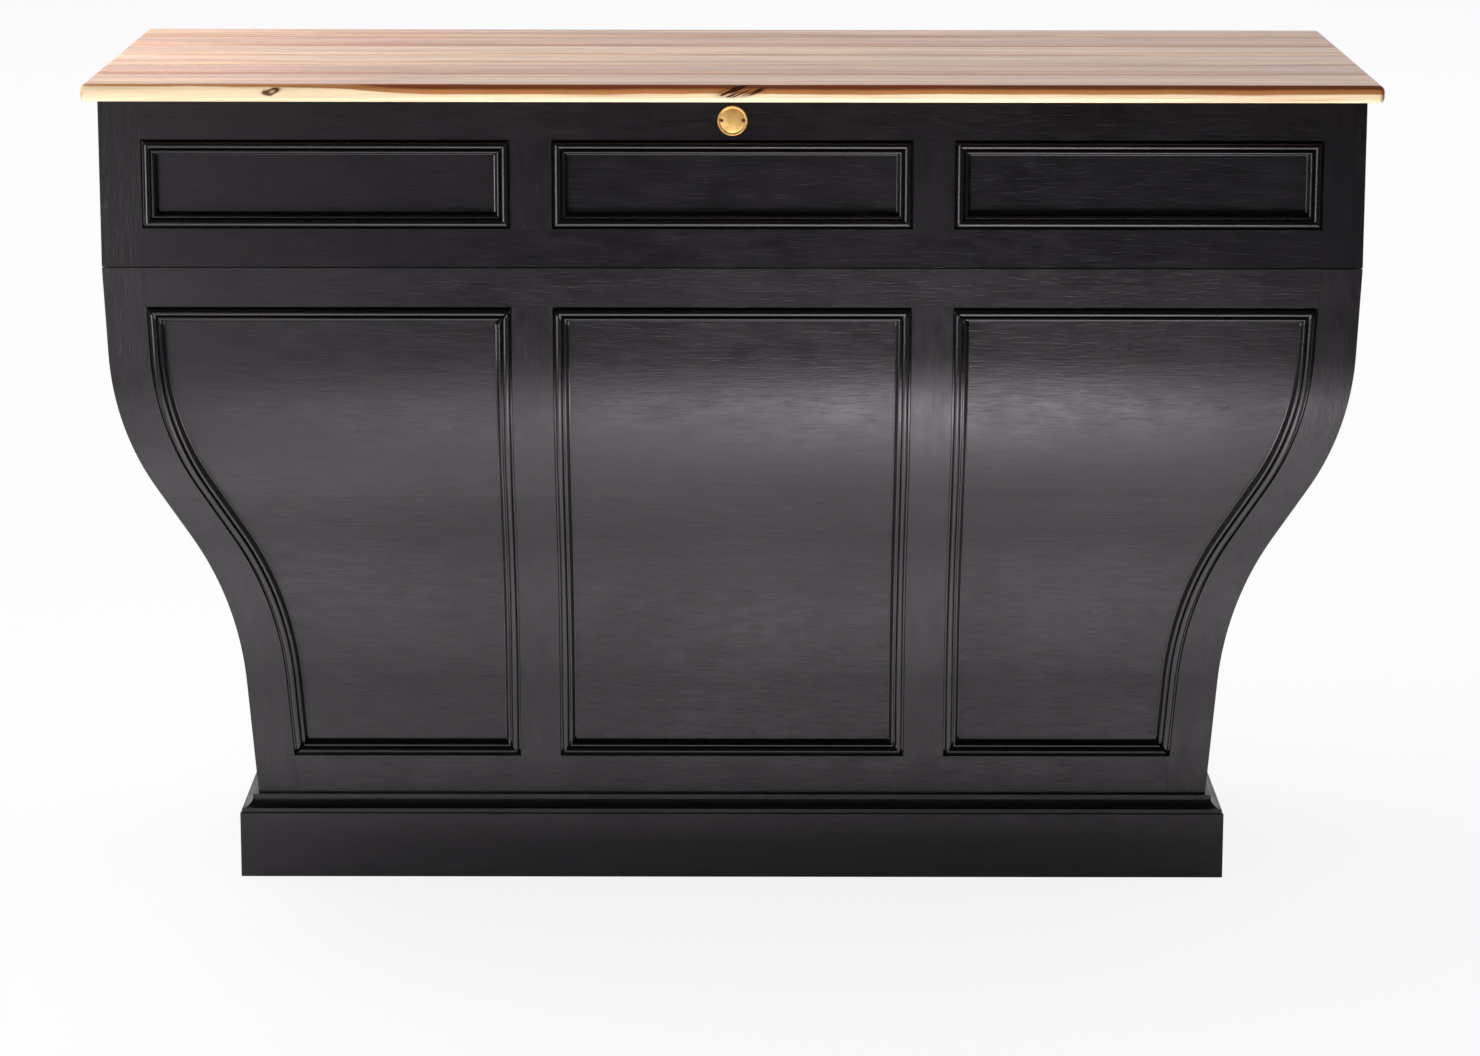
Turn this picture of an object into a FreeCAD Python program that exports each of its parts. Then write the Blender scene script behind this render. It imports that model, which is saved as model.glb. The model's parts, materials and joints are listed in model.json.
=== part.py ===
import FreeCAD, Part
import math
import os
import re
import Sketcher
from FreeCAD import Placement, Rotation, Vector

# A bar counter with a plank top, a panelled frieze, an ogee front and ends, and drawers on the staff side.
# X runs along the counter, the guests stand on the -Y side, and the floor is Z = 0.

SIZES = {
    # Plank top
    "top_length": 1600,
    "top_depth": 664,
    "top_thickness": 22,
    "plank_count": 6,
    "top_corner_round": 7,
    "top_upper_round": 8,
    "top_lower_round": 4,
    "overhang": 19,
    "staff_overhang": 30,
    # Heights of the three cases
    "frieze_height": 208,
    "body_height": 717,
    "plinth_height": 107,
    # Ogee of the body, from the frieze down; slopes in degrees from the vertical, shares of the body's height
    "ogee_top_slope": 2.4,
    "ogee_top_run_share": 0.152,
    "ogee_upper_radius_share": 0.5816,
    "ogee_mid_slope": 28.3,
    "ogee_mid_run_share": 0.1116,
    "ogee_lower_radius_share": 0.7197,
    "ogee_foot_slope": 4.3,
    # Sunk line round the seam of frieze and body
    "seam_line_height": 1.6,
    "seam_line_depth": 4,
    # Frames and panels
    "frame_thickness": 22,
    "end_stile_width": 51.5,
    "muntin_width": 51,
    "centre_opening_share": 0.329,
    "frieze_top_rail_width": 48,
    "frieze_bottom_rail_width": 49,
    "body_top_rail_width": 49,
    "body_bottom_rail_width": 51,
    "panel_thickness": 10,
    "panel_setback": 9,
    "panel_lap": 8,
    "panel_play": 0.4,
    "joint_gap": 0.2,
    "tenon_setback": 11.5,
    "tenon_thickness": 7,
    "tenon_length": 24,
    "tenon_shoulder": 10,
    "tenon_play": 0.3,
    # Moulding round each panel
    "moulding_width": 18,
    "bead_width": 9,
    "bead_turn": 70,
    "bead_flat_count": 4,
    "bead_rise": 1,
    "quirk_width": 1.6,
    "quirk_depth": 0.8,
    "fillet_width": 4.4,
    "fillet_rise": 1.2,
    "seat_gap": 0.2,
    "edge_gap": 0.5,
    # Inside of the cases
    "divider_thickness": 20,
    "deck_thickness": 18,
    "floor_thickness": 18,
    "shelf_thickness": 20,
    "shelf_rise": 6,
    "shelf_inset": 14,
    "dado_depth": 6,
    "batten_width": 26,
    "batten_height": 24,
    "cleat_size": 20,
    # Drawers
    "drawer_gap": 2,
    "drawer_lift": 0.4,
    "drawer_inset": 12,
    "drawer_front_thickness": 20,
    "drawer_side_thickness": 12,
    "drawer_side_height": 150,
    "drawer_side_play": 3,
    "drawer_back_room": 57,
    "drawer_bottom_thickness": 6,
    "drawer_bottom_level": 8,
    "drawer_groove": 5,
    "knob_side_count": 24,
    "knob_radius": 15,
    "knob_length": 27,
    "knob_stem_radius": 7,
    "knob_stem_length": 10,
    # Plinth
    "plinth_reach": 22.5,
    "plinth_thickness": 44,
    "plinth_moulding_height": 22,
    "plinth_back_thickness": 22,
    "plinth_quirk": 2.5,
    "plinth_step": 6,
    "plinth_hollow": 13,
    "plinth_hollow_radius": 14,
    "plinth_ledge": 1,
    # Brass disc on the frieze
    "disc_radius": 18.5,
    "disc_thickness": 1.6,
    "disc_rim_width": 2.2,
    "disc_rim_height": 0.7,
    "nail_spacing": 27,
    "nail_radius": 2.2,
    "nail_height": 1.2,
    "nail_crown_share": 0.55,
    # Room for cutting shapes
    "hip_reach": 100,
    "overrun": 5,
}

DERIVED = {
    "case_length": "top_length - 2 * overhang",
    "case_side": "case_length / 2",
    "case_front": "top_depth / 2 - overhang",
    "case_back": "top_depth / 2 - staff_overhang",
    "seam": "plinth_height + body_height",
    "frieze_top": "seam + frieze_height",
    "plank_width": "top_depth / plank_count",
    "openings_width": "case_length - 2 * end_stile_width - 2 * muntin_width",
    "middle_edge": "openings_width * centre_opening_share / 2",
    "bead_radius": "bead_width / (2 * sin(bead_turn))",
    "outer_edge": "middle_edge + muntin_width",
    "frieze_opening_top": "frieze_top - frieze_top_rail_width",
    "frieze_opening_bottom": "seam + frieze_bottom_rail_width",
    "body_opening_top": "seam - body_top_rail_width",
    "body_opening_bottom": "plinth_height + body_bottom_rail_width",
    "ogee_top_run": "body_height * ogee_top_run_share",
    "ogee_upper_radius": "body_height * ogee_upper_radius_share",
    "ogee_mid_run": "body_height * ogee_mid_run_share",
    "ogee_lower_radius": "body_height * ogee_lower_radius_share",
    # Centres of the ogee's arcs and ends of its straight runs, as a recess from the case's face and a height
    "upper_centre_recess": "ogee_top_run * sin(ogee_top_slope) + ogee_upper_radius * cos(ogee_top_slope)",
    "upper_centre": "seam - ogee_top_run * cos(ogee_top_slope) + ogee_upper_radius * sin(ogee_top_slope)",
    "centre_reach": "ogee_upper_radius + ogee_lower_radius",
    "lower_centre_recess":
        "upper_centre_recess - centre_reach * cos(ogee_mid_slope) + ogee_mid_run * sin(ogee_mid_slope)",
    "lower_centre": "upper_centre - centre_reach * sin(ogee_mid_slope) - ogee_mid_run * cos(ogee_mid_slope)",
    "mid_end_recess": "lower_centre_recess + ogee_lower_radius * cos(ogee_mid_slope)",
    "mid_end": "lower_centre + ogee_lower_radius * sin(ogee_mid_slope)",
    "foot_start_recess": "lower_centre_recess + ogee_lower_radius * cos(ogee_foot_slope)",
    "foot_start": "lower_centre + ogee_lower_radius * sin(ogee_foot_slope)",
    "foot_recess": "foot_start_recess + (foot_start - plinth_height) * tan(ogee_foot_slope)",
    "opening_top_recess": "body_top_rail_width * tan(ogee_top_slope)",
    "opening_bottom_recess": "foot_recess - body_bottom_rail_width * tan(ogee_foot_slope)",
    # Inside
    "divider_centre": "middle_edge + muntin_width / 2",
    "wall_inside": "case_side - frame_thickness",
    "frame_back": "case_front - frame_thickness",
    "deck_top": "seam + deck_thickness",
    "floor_top": "plinth_height + floor_thickness",
    "inside_offset": "frame_thickness + joint_gap",
    "shelf_level": "mid_end + shelf_rise",
    "batten_reach": "mid_end_recess + inside_offset / cos(ogee_mid_slope) + batten_width",
    "case_depth": "case_front + case_back",
    "drawer_face": "case_back - drawer_inset",
    "drawer_front_back": "drawer_face - drawer_front_thickness",
    "drawer_end": "drawer_back_room - frame_back",
    "drawer_underside": "deck_top + drawer_lift",
    "plinth_face_height": "plinth_height - plinth_moulding_height",
    "plinth_recess": "foot_recess - plinth_reach",
    "plinth_side": "case_side - plinth_recess",
    "mitre_reach": "foot_recess + plinth_thickness + overrun",
}

doc = FreeCAD.newDocument("bar_counter")
sheet = doc.addObject("Spreadsheet::Sheet", "sizes")
FORMULAS = {name: f"={formula}" for name, formula in DERIVED.items()}
for row, (name, content) in enumerate({**SIZES, **FORMULAS}.items(), start=1):
    sheet.set(f"A{row}", name)
    sheet.set(f"B{row}", str(content))
    sheet.setAlias(f"B{row}", name)
doc.recompute()

NAMES = set(SIZES) | set(DERIVED)
TOLERANCE = 1e-6
HIP_STATIONS = 5
PLANES = {
    "plan": Rotation(),
    "front": Rotation(Vector(1, 0, 0), Vector(0, 0, 1), Vector(0, -1, 0)),
    "side": Rotation(Vector(0, 1, 0), Vector(0, 0, 1), Vector(1, 0, 0)),
}
nodes = []


def on_sheet(expression):
    """Point each size named in an expression at its cell."""
    return re.sub(r"[a-z_]+", lambda word: f"sizes.{word[0]}" if word[0] in NAMES else word[0], expression)


def number(expression):
    """Work an expression of sizes out."""
    result = sheet.evalExpression(on_sheet(expression))
    return float(getattr(result, "Value", result))


def bind(target, name, expression):
    target.setExpression(name, on_sheet(expression))


def move(target, rotation, base):
    """Turn an object and bind its place to three expressions."""
    target.Placement = Placement(Vector(*(number(place) for place in base)), rotation)
    for axis, place in zip("xyz", base):
        bind(target, f"Placement.Base.{axis}", place)


def box(across, along, up):
    """Make a board between three pairs of bounds."""
    piece = doc.addObject("Part::Box", "board")
    for side, axis, (low, high) in zip(("Length", "Width", "Height"), "xyz", (across, along, up)):
        bind(piece, side, f"({high}) - ({low})")
        bind(piece, f"Placement.Base.{axis}", low)
    return piece


def hold(sketch, kind, part, end, expression):
    """Fix a point of a sketch at a distance from its origin."""
    distance = number(expression)
    axis = -2 if kind == "DistanceX" else -1
    if abs(distance) < TOLERANCE:
        sketch.addConstraint(Sketcher.Constraint("PointOnObject", part, end, axis))
        return
    if distance > 0:
        rule = sketch.addConstraint(Sketcher.Constraint(kind, -1, 1, part, end, distance))
        bind(sketch, f"Constraints[{rule}]", expression)
    else:
        rule = sketch.addConstraint(Sketcher.Constraint(kind, part, end, -1, 1, -distance))
        bind(sketch, f"Constraints[{rule}]", f"-({expression})")


def curve_between(start, end, radius):
    """Return a line, or an arc that turns left for a radius above 0 and right below, with its two ends."""
    if radius == 0:
        return Part.LineSegment(start, end), 1, 2
    chord = end - start
    left = Vector(-chord.y, chord.x, 0).normalize()
    rise = math.sqrt(radius ** 2 - (chord.Length / 2) ** 2)
    centre = (start + end) * 0.5 + left * math.copysign(rise, radius)
    first, second = (start, end) if radius > 0 else (end, start)
    angles = [math.atan2(point.y - centre.y, point.x - centre.x) for point in (first, second)]
    if angles[1] < angles[0]:
        angles[1] += 2 * math.pi
    arc = Part.ArcOfCircle(Part.Circle(centre, Vector(0, 0, 1), abs(radius)), *angles)
    return (arc, 1, 2) if radius > 0 else (arc, 2, 1)


def outline(corners, closed=True):
    """Draw a sketch through corners (across, up) or (across, up, radius of the run to the next corner)."""
    sketch = doc.addObject("Sketcher::SketchObject", "outline")
    points = [Vector(number(corner[0]), number(corner[1]), 0) for corner in corners]
    runs = len(corners) if closed else len(corners) - 1
    ends = []
    for index in range(runs):
        rounding = corners[index][2] if len(corners[index]) > 2 else "0"
        curve, first, last = curve_between(points[index], points[(index + 1) % len(points)], number(rounding))
        part = sketch.addGeometry(curve)
        ends.append((part, first, last))
        hold(sketch, "DistanceX", part, first, corners[index][0])
        hold(sketch, "DistanceY", part, first, corners[index][1])
        if rounding != "0":
            rule = sketch.addConstraint(Sketcher.Constraint("Radius", part, abs(number(rounding))))
            bind(sketch, f"Constraints[{rule}]", f"abs({rounding})")
    for (part, _, last), (following, first, _) in zip(ends, ends[1:] + ends[:1] if closed else ends[1:]):
        sketch.addConstraint(Sketcher.Constraint("Coincident", part, last, following, first))
    if not closed:
        hold(sketch, "DistanceX", ends[-1][0], ends[-1][2], corners[-1][0])
        hold(sketch, "DistanceY", ends[-1][0], ends[-1][2], corners[-1][1])
    return sketch


def extrude(sketch, rotation, base, length):
    """Pull a placed sketch along its normal."""
    move(sketch, rotation, base)
    solid = doc.addObject("Part::Extrusion", "extrusion")
    solid.Base = sketch
    solid.DirMode = "Normal"
    solid.Solid = True
    bind(solid, "LengthFwd", length)
    return solid


def revolve(sketch, base):
    """Turn a sketch drawn beside the Y axis about that axis, at a place."""
    move(sketch, PLANES["plan"], base)
    solid = doc.addObject("Part::Revolution", "revolution")
    solid.Source = sketch
    solid.Axis = Vector(0, 1, 0)
    solid.Solid = True
    for axis, place in zip("xyz", base):
        bind(solid, f"Base.{axis}", place)
    return solid


def common(*pieces):
    shared = doc.addObject("Part::MultiCommon", "shared")
    shared.Shapes = list(pieces)
    return shared


def cut(piece, *tools):
    for tool in tools:
        rest = doc.addObject("Part::Cut", "rest")
        rest.Base = piece
        rest.Tool = tool
        piece = rest
    return piece


def fused(*pieces):
    whole = doc.addObject("Part::MultiFuse", "whole")
    whole.Shapes = list(pieces)
    return whole


def together(pieces):
    group = doc.addObject("Part::Compound", "group")
    group.Links = list(pieces)
    return group


def mirrored(piece):
    """Copy a piece of the left end to the right end."""
    copy = doc.addObject("Part::Mirroring", "mirrored")
    copy.Source = piece
    copy.Normal = Vector(1, 0, 0)
    return copy


def node(label, *pieces):
    """Name a sub-part of one or more solids and list it for export."""
    piece = pieces[0] if len(pieces) == 1 else together(pieces)
    piece.Label = label
    nodes.append(piece)
    return piece


def both_ends(label, piece):
    """Name a piece of the left end and its mirror image at the right end."""
    node(f"{label}_left", piece)
    node(f"{label}_right", mirrored(piece))


def balanced(reach):
    return (f"-({reach})", reach)


def ogee(offset, start, end):
    """List the corners of the ogee moved into the case, between a start and an end height."""
    upper = f"(ogee_upper_radius - ({offset}))"
    lower = f"(ogee_lower_radius + ({offset}))"
    return [
        (f"(seam - ({start})) * tan(ogee_top_slope) + ({offset}) / cos(ogee_top_slope)", start),
        (f"upper_centre_recess - {upper} * cos(ogee_top_slope)",
         f"upper_centre - {upper} * sin(ogee_top_slope)", upper),
        (f"upper_centre_recess - {upper} * cos(ogee_mid_slope)",
         f"upper_centre - {upper} * sin(ogee_mid_slope)"),
        (f"lower_centre_recess + {lower} * cos(ogee_mid_slope)",
         f"lower_centre + {lower} * sin(ogee_mid_slope)", f"-{lower}"),
        (f"lower_centre_recess + {lower} * cos(ogee_foot_slope)",
         f"lower_centre + {lower} * sin(ogee_foot_slope)"),
        (f"foot_recess - (({end}) - plinth_height) * tan(ogee_foot_slope) + ({offset}) / cos(ogee_foot_slope)",
         end),
    ]


def turned_back(corners):
    """List the corners of a curve in the opposite order."""
    radii = [corner[2] if len(corner) > 2 else "0" for corner in corners]
    points = [corner[:2] for corner in corners]
    back = [(*point, f"-({radius})" if radius != "0" else "0")
            for point, radius in zip(points[1:][::-1], radii[:-1][::-1])]
    return back + [points[0]]


def ogee_band(near, far):
    """Draw the section of a bent board between two depths behind the face."""
    return outline(ogee(near, "seam", "plinth_height") + turned_back(ogee(far, "seam", "plinth_height")))


def ogee_inside(offset, far):
    """Draw the section of all that lies between the ogee and a far side."""
    return outline(ogee(offset, "seam", "plinth_height") + [(far, "plinth_height"), (far, "seam")])


def along_front(sketch):
    """Pull an ogee section along the whole front."""
    return extrude(sketch, PLANES["side"], ("-case_side", "-case_front", "0"), "case_length")


def along_end(sketch, shift="0"):
    """Pull an ogee section along the left end, moved inwards by a shift."""
    return extrude(sketch, PLANES["front"], (f"({shift}) - case_side", "case_back", "0"), "case_depth")


def between_ends(shift):
    """Make the space between the two ogee ends, each moved inwards by a shift."""
    left = along_end(ogee_inside("0", "case_length"), shift)
    return common(left, mirrored(left))


# Everything in front of the mitres at the two front corners
front_corner = extrude(
    outline([
        ("-case_side", "-case_front"),
        ("case_side", "-case_front"),
        ("case_side - mitre_reach", "mitre_reach - case_front"),
        ("mitre_reach - case_side", "mitre_reach - case_front"),
    ]),
    PLANES["plan"], ("0", "0", "0"), "frieze_top",
)

# The three openings along the front, and the height of those in the frieze and in the body
BAYS = {
    "left": ("end_stile_width - case_side", "-outer_edge"),
    "centre": balanced("middle_edge"),
    "right": ("outer_edge", "case_side - end_stile_width"),
}
MUNTIN = ("-outer_edge", "-middle_edge")
FRIEZE = ("frieze_opening_bottom", "frieze_opening_top")
BODY = ("body_opening_bottom", "body_opening_top")


def grown(bounds, amount):
    return (f"{bounds[0]} - ({amount})", f"{bounds[1]} + ({amount})")


def build_top():
    """Edge-glued planks with rounded edges, on cleats screwed to the case."""
    slab = box(balanced("top_length / 2"), balanced("top_depth / 2"),
               ("frieze_top", "frieze_top + top_thickness"))
    doc.recompute()

    def rounded(piece, radius, chosen):
        doc.recompute()
        fillet = doc.addObject("Part::Fillet", "rounded")
        fillet.Base = piece
        size = number(radius)
        fillet.Edges = [(index, size, size) for index, edge in enumerate(piece.Shape.Edges, start=1)
                        if chosen(edge.BoundBox)]
        return fillet

    upper = number("frieze_top + top_thickness")
    lower = number("frieze_top")
    size_step = number("joint_gap")
    slab = rounded(slab, "top_corner_round", lambda bounds: bounds.ZMin < lower + size_step < bounds.ZMax)
    slab = rounded(slab, "top_upper_round", lambda bounds: bounds.ZMin > upper - size_step)
    slab = rounded(slab, "top_lower_round", lambda bounds: bounds.ZMax < lower + size_step)
    planks = []
    for index in range(SIZES["plank_count"]):
        strip = box(balanced("top_length"),
                    (f"{index} * plank_width - top_depth / 2", f"{index + 1} * plank_width - top_depth / 2"),
                    ("frieze_top", "frieze_top + top_thickness"))
        planks.append(common(slab, strip))
    node("counter_top", *planks)

    cleats = [box((f"-({face})", f"cleat_size - ({face})"),
                  ("-frame_back", "drawer_front_back - drawer_gap"), ("frieze_top - cleat_size", "frieze_top"))
              for face in ("wall_inside", "divider_centre - divider_thickness / 2")]
    node("top_cleats", *cleats, *(mirrored(cleat) for cleat in cleats))


def build_frieze():
    """Square case under the top: a tenoned front frame with three panels, plain ends, dividers and a deck."""
    thickness = ("-case_front", "-frame_back")
    tenon_layer = ("tenon_setback - case_front", "tenon_setback + tenon_thickness - case_front")
    pockets = together([
        box(grown(bay, "panel_lap + panel_play"),
            ("panel_setback - case_front", "overrun - frame_back"),
            grown(FRIEZE, "panel_lap + panel_play"))
        for bay in BAYS.values()
    ])

    def tenon(span, heights, play):
        return box(grown(span, play), grown(tenon_layer, play), grown(heights, play))

    line_heights = ("seam - overrun", "seam + seam_line_height")
    end_line = box(("-case_side - overrun", "seam_line_depth - case_side"),
                   ("-case_front - overrun", "case_back + overrun"), line_heights)
    seam_line = together([
        box(balanced("case_side"), ("-case_front - overrun", "seam_line_depth - case_front"), line_heights),
        end_line,
        mirrored(end_line),
    ])
    rail_length = balanced("case_side - end_stile_width")
    tongue_length = grown(rail_length, "tenon_length")
    muntin_tongue = (grown(MUNTIN, "-tenon_shoulder"), grown(FRIEZE, "tenon_length"))
    muntin_mortise = tenon(*muntin_tongue, "tenon_play")
    rail_heights = {"top": ("frieze_opening_top", "frieze_top"), "bottom": ("seam", "frieze_opening_bottom")}
    mortises = []
    for name, heights in rail_heights.items():
        tongue = grown(heights, "-tenon_shoulder")
        rail = fused(box(rail_length, thickness, heights), tenon(tongue_length, tongue, "0"))
        node(f"frieze_{name}_rail", cut(rail, pockets, muntin_mortise, mirrored(muntin_mortise), seam_line))
        mortises.append(tenon(tongue_length, tongue, "tenon_play"))
    stile = box(("-case_side", "end_stile_width - case_side"), thickness, ("seam", "frieze_top"))
    both_ends("frieze_stile", cut(common(stile, front_corner), pockets, *mortises, seam_line))
    muntin = fused(box(MUNTIN, thickness, FRIEZE), tenon(*muntin_tongue, "0"))
    both_ends("frieze_muntin", cut(muntin, pockets))
    for name, bay in BAYS.items():
        node(f"frieze_panel_{name}",
             box(grown(bay, "panel_lap"),
                 ("panel_setback - case_front", "panel_setback + panel_thickness - case_front"),
                 grown(FRIEZE, "panel_lap")))
    end = box(("-case_side", "-wall_inside"), ("-case_front", "case_back"), ("seam", "frieze_top"))
    both_ends("frieze_end", cut(end, front_corner, seam_line))
    divider = box(("-divider_centre - divider_thickness / 2", "-divider_centre + divider_thickness / 2"),
                  ("-frame_back", "case_back"), ("deck_top", "frieze_top"))
    both_ends("frieze_divider", divider)
    node("drawer_deck", box(balanced("wall_inside"), ("-frame_back", "case_back"), ("seam", "deck_top")))


def moulding_section():
    """Draw the moulding, across from the frame's edge to the panel and up from the frame's face."""
    seat = "seat_gap - panel_setback"
    bead_end = "edge_gap + bead_width"
    quirk_end = f"{bead_end} + quirk_width"
    flats = SIZES["bead_flat_count"]
    bead = []
    for step in range(flats + 1):
        turn = f"bead_turn * {1 - 2 * step / flats}"
        bead.append((f"edge_gap + bead_width / 2 + bead_radius * sin({turn})",
                     f"bead_rise + bead_radius * (cos({turn}) - cos(bead_turn))"))
    return outline([
        ("moulding_width", seat),
        (f"{quirk_end} + fillet_width", "fillet_rise"),
        (quirk_end, "fillet_rise"),
        (quirk_end, "-quirk_depth"),
        (bead_end, "-quirk_depth"),
        *bead,
        ("edge_gap", seat),
    ])


def mitre(corners):
    """Make a cutting block of the height of the case through corners in the front view."""
    return extrude(outline(corners), PLANES["front"], ("0", "case_back", "0"), "case_depth + case_front")


def mitre_blocks(bounds, heights):
    """Make the four blocks that mitre the moulding of an opening: left, right, top and bottom."""
    left, right = bounds
    bottom, top = heights

    def corner(side, level, depth):
        across = f"({left}) + ({depth})" if side == "left" else f"({right}) - ({depth})"
        up = f"({top}) - ({depth})" if level == "top" else f"({bottom}) + ({depth})"
        return (across, up)

    out, into = "-moulding_width", "moulding_width"
    pairs = {
        "left": [("left", "top"), ("left", "bottom")],
        "right": [("right", "bottom"), ("right", "top")],
        "top": [("right", "top"), ("left", "top")],
        "bottom": [("left", "bottom"), ("right", "bottom")],
    }
    return {
        name: mitre([corner(*first, out), corner(*second, out), corner(*second, into), corner(*first, into)])
        for name, (first, second) in pairs.items()
    }


def build_frieze_mouldings():
    """Four mitred strips round each panel of the frieze."""
    outward = Vector(0, -1, 0)
    for name, (left, right) in BAYS.items():
        blocks = mitre_blocks((left, right), FRIEZE)
        bottom, top = FRIEZE
        runs = {
            "left": (Vector(1, 0, 0), (left, "-case_front", f"{top} + moulding_width")),
            "right": (Vector(-1, 0, 0), (right, "-case_front", f"{bottom} - moulding_width")),
            "top": (Vector(0, 0, -1), (f"{right} + moulding_width", "-case_front", top)),
            "bottom": (Vector(0, 0, 1), (f"{left} - moulding_width", "-case_front", bottom)),
        }
        strips = []
        for side, (inward, base) in runs.items():
            turn = Rotation(inward, outward, inward.cross(outward))
            span = f"({right}) - ({left})" if side in ("top", "bottom") else f"({top}) - ({bottom})"
            strip = extrude(moulding_section(), turn, base, f"{span} + 2 * moulding_width")
            strips.append(common(strip, blocks[side]))
        node(f"frieze_moulding_{name}", *strips)


# The moulding beside a panel of the body, before its mitres are cut
MOULDING_RUN = ("0", "body_opening_top + moulding_width", "body_opening_bottom - moulding_width")


def slope_frame(slope):
    """Return the downward run and the outward normal of the front where it leans by a slope."""
    lean = math.radians(number(slope))
    return Vector(0, math.sin(lean), -math.cos(lean)), Vector(0, -math.cos(lean), -math.sin(lean))


def hip_line(distance):
    """Draw the line beside the left stile, on the ogees of front and end, a distance off the face."""
    slopes = [math.radians(number(f"ogee_{part}_slope")) for part in ("top", "mid", "foot")]

    def place(recess, height, lean):
        return Vector(recess + number("end_stile_width - case_side"),
                      recess - number("case_front") - distance * math.cos(lean),
                      height - distance * math.sin(lean))

    def bend(first, last, centre, radius):
        leans = [first + (last - first) * step / (HIP_STATIONS - 1) for step in range(HIP_STATIONS)]
        return [place(number(f"{centre}_recess") - radius * math.cos(lean),
                      number(centre) - radius * math.sin(lean), lean) for lean in leans]

    start, *_, end = ogee(*MOULDING_RUN)
    upper_bend = bend(slopes[0], slopes[1], "upper_centre", number("ogee_upper_radius"))
    lower_bend = bend(slopes[1], slopes[2], "lower_centre", number("-ogee_lower_radius"))
    bends = []
    for points in (upper_bend, lower_bend):
        bend_curve = Part.BSplineCurve()
        bend_curve.interpolate(points)
        bends.append(bend_curve)
    runs = [
        Part.LineSegment(place(number(start[0]), number(start[1]), slopes[0]), upper_bend[0]),
        bends[0],
        Part.LineSegment(upper_bend[-1], lower_bend[0]),
        bends[1],
        Part.LineSegment(lower_bend[-1], place(number(end[0]), number(end[1]), slopes[2])),
    ]
    return Part.Wire([run.toShape() for run in runs])


def upright_strip(edge, inward):
    """Sweep the moulding down the front beside an edge of an opening."""
    path = outline(ogee(*MOULDING_RUN), closed=False)
    move(path, PLANES["side"], (edge, "-case_front", "0"))
    recess, height = ogee(*MOULDING_RUN)[0][:2]
    _, outward = slope_frame("ogee_top_slope")
    section = moulding_section()
    move(section, Rotation(inward, outward, inward.cross(outward)), (edge, f"{recess} - case_front", height))
    doc.recompute()
    strip = doc.addObject("Part::Sweep", "upright")
    strip.Sections = [section]
    strip.Spine = (path, [f"Edge{index + 1}" for index in range(len(path.Shape.Edges))])
    strip.Solid = True
    strip.Frenet = True
    return strip


def hip_strip():
    """Sweep the moulding down the left stile, square to the front all the way."""
    recess, height = ogee(*MOULDING_RUN)[0][:2]
    down, outward = slope_frame("ogee_top_slope")
    run = Vector(down.y, down.y, down.z).normalize()
    inward = outward.cross(run)
    section = moulding_section()
    move(section, Rotation(inward, outward, inward.cross(outward)),
         (f"{recess} + end_stile_width - case_side", f"{recess} - case_front", height))
    doc.recompute()
    pipe = Part.BRepOffsetAPI.MakePipeShell(hip_line(0))
    pipe.setAuxiliarySpine(hip_line(number("bead_width")), False, 0)
    pipe.add(Part.Wire(Part.__sortEdges__(section.Shape.Edges)), False, False)
    pipe.build()
    pipe.makeSolid()
    strip = doc.addObject("Part::Feature", "hip")
    strip.Shape = pipe.shape()
    return strip


def level_strip(level, recess, slope, down):
    """Pull the moulding along the top or the bottom edge of an opening."""
    run, outward = slope_frame(slope)
    inward = run if down else run * -1
    normal = inward.cross(outward)
    start = "-case_side" if normal.x > 0 else "case_side"
    return extrude(moulding_section(), Rotation(inward, outward, normal),
                   (start, f"({recess}) - case_front", level), "case_length")


def build_body_mouldings():
    """Four mitred strips round each panel of the body, bent to the ogee."""
    right_way = Vector(1, 0, 0)
    levels = {
        "top": level_strip("body_opening_top", "opening_top_recess", "ogee_top_slope", True),
        "bottom": level_strip("body_opening_bottom", "opening_bottom_recess", "ogee_foot_slope", False),
    }
    centre = mitre_blocks(BAYS["centre"], BODY)
    node("body_moulding_centre",
         common(upright_strip("-middle_edge", right_way), centre["left"]),
         common(upright_strip("middle_edge", right_way * -1), centre["right"]),
         *(common(levels[side], centre[side]) for side in levels))

    top_lead = "cos(45 - ogee_top_slope / 2) / sin(45 - ogee_top_slope / 2)"
    foot_lead = "cos(45 + ogee_foot_slope / 2) / sin(45 + ogee_foot_slope / 2)"
    top_corner = "end_stile_width - case_side + opening_top_recess"
    foot_corner = "end_stile_width - case_side + opening_bottom_recess"
    right = "-outer_edge"
    top, bottom = "body_opening_top", "body_opening_bottom"

    def left_block(out, into):
        return [
            (f"{top_corner} - ({out}) * {top_lead}", f"{top} + ({out})"),
            (f"{foot_corner} - ({out}) * {foot_lead}", f"{bottom} - ({out})"),
            (f"{foot_corner} + ({into}) * {foot_lead}", f"{bottom} + ({into})"),
            (f"{top_corner} + ({into}) * {top_lead}", f"{top} - ({into})"),
        ]

    width = "moulding_width"
    squares = mitre_blocks((top_corner, right), BODY)
    edge = left_block(width, width)
    top_block = mitre([(f"{right} + {width}", f"{top} + {width}"), edge[0], edge[3],
                       (f"{right} - {width}", f"{top} - {width}")])
    foot_block = mitre([edge[1], (f"{right} + {width}", f"{bottom} - {width}"),
                        (f"{right} - {width}", f"{bottom} + {width}"), edge[2]])
    left = [
        common(hip_strip(), mitre(left_block("hip_reach", "mitre_reach"))),
        common(upright_strip(right, right_way * -1), squares["right"]),
        common(levels["top"], top_block),
        common(levels["bottom"], foot_block),
    ]
    both_ends("body_moulding", together(left))


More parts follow.
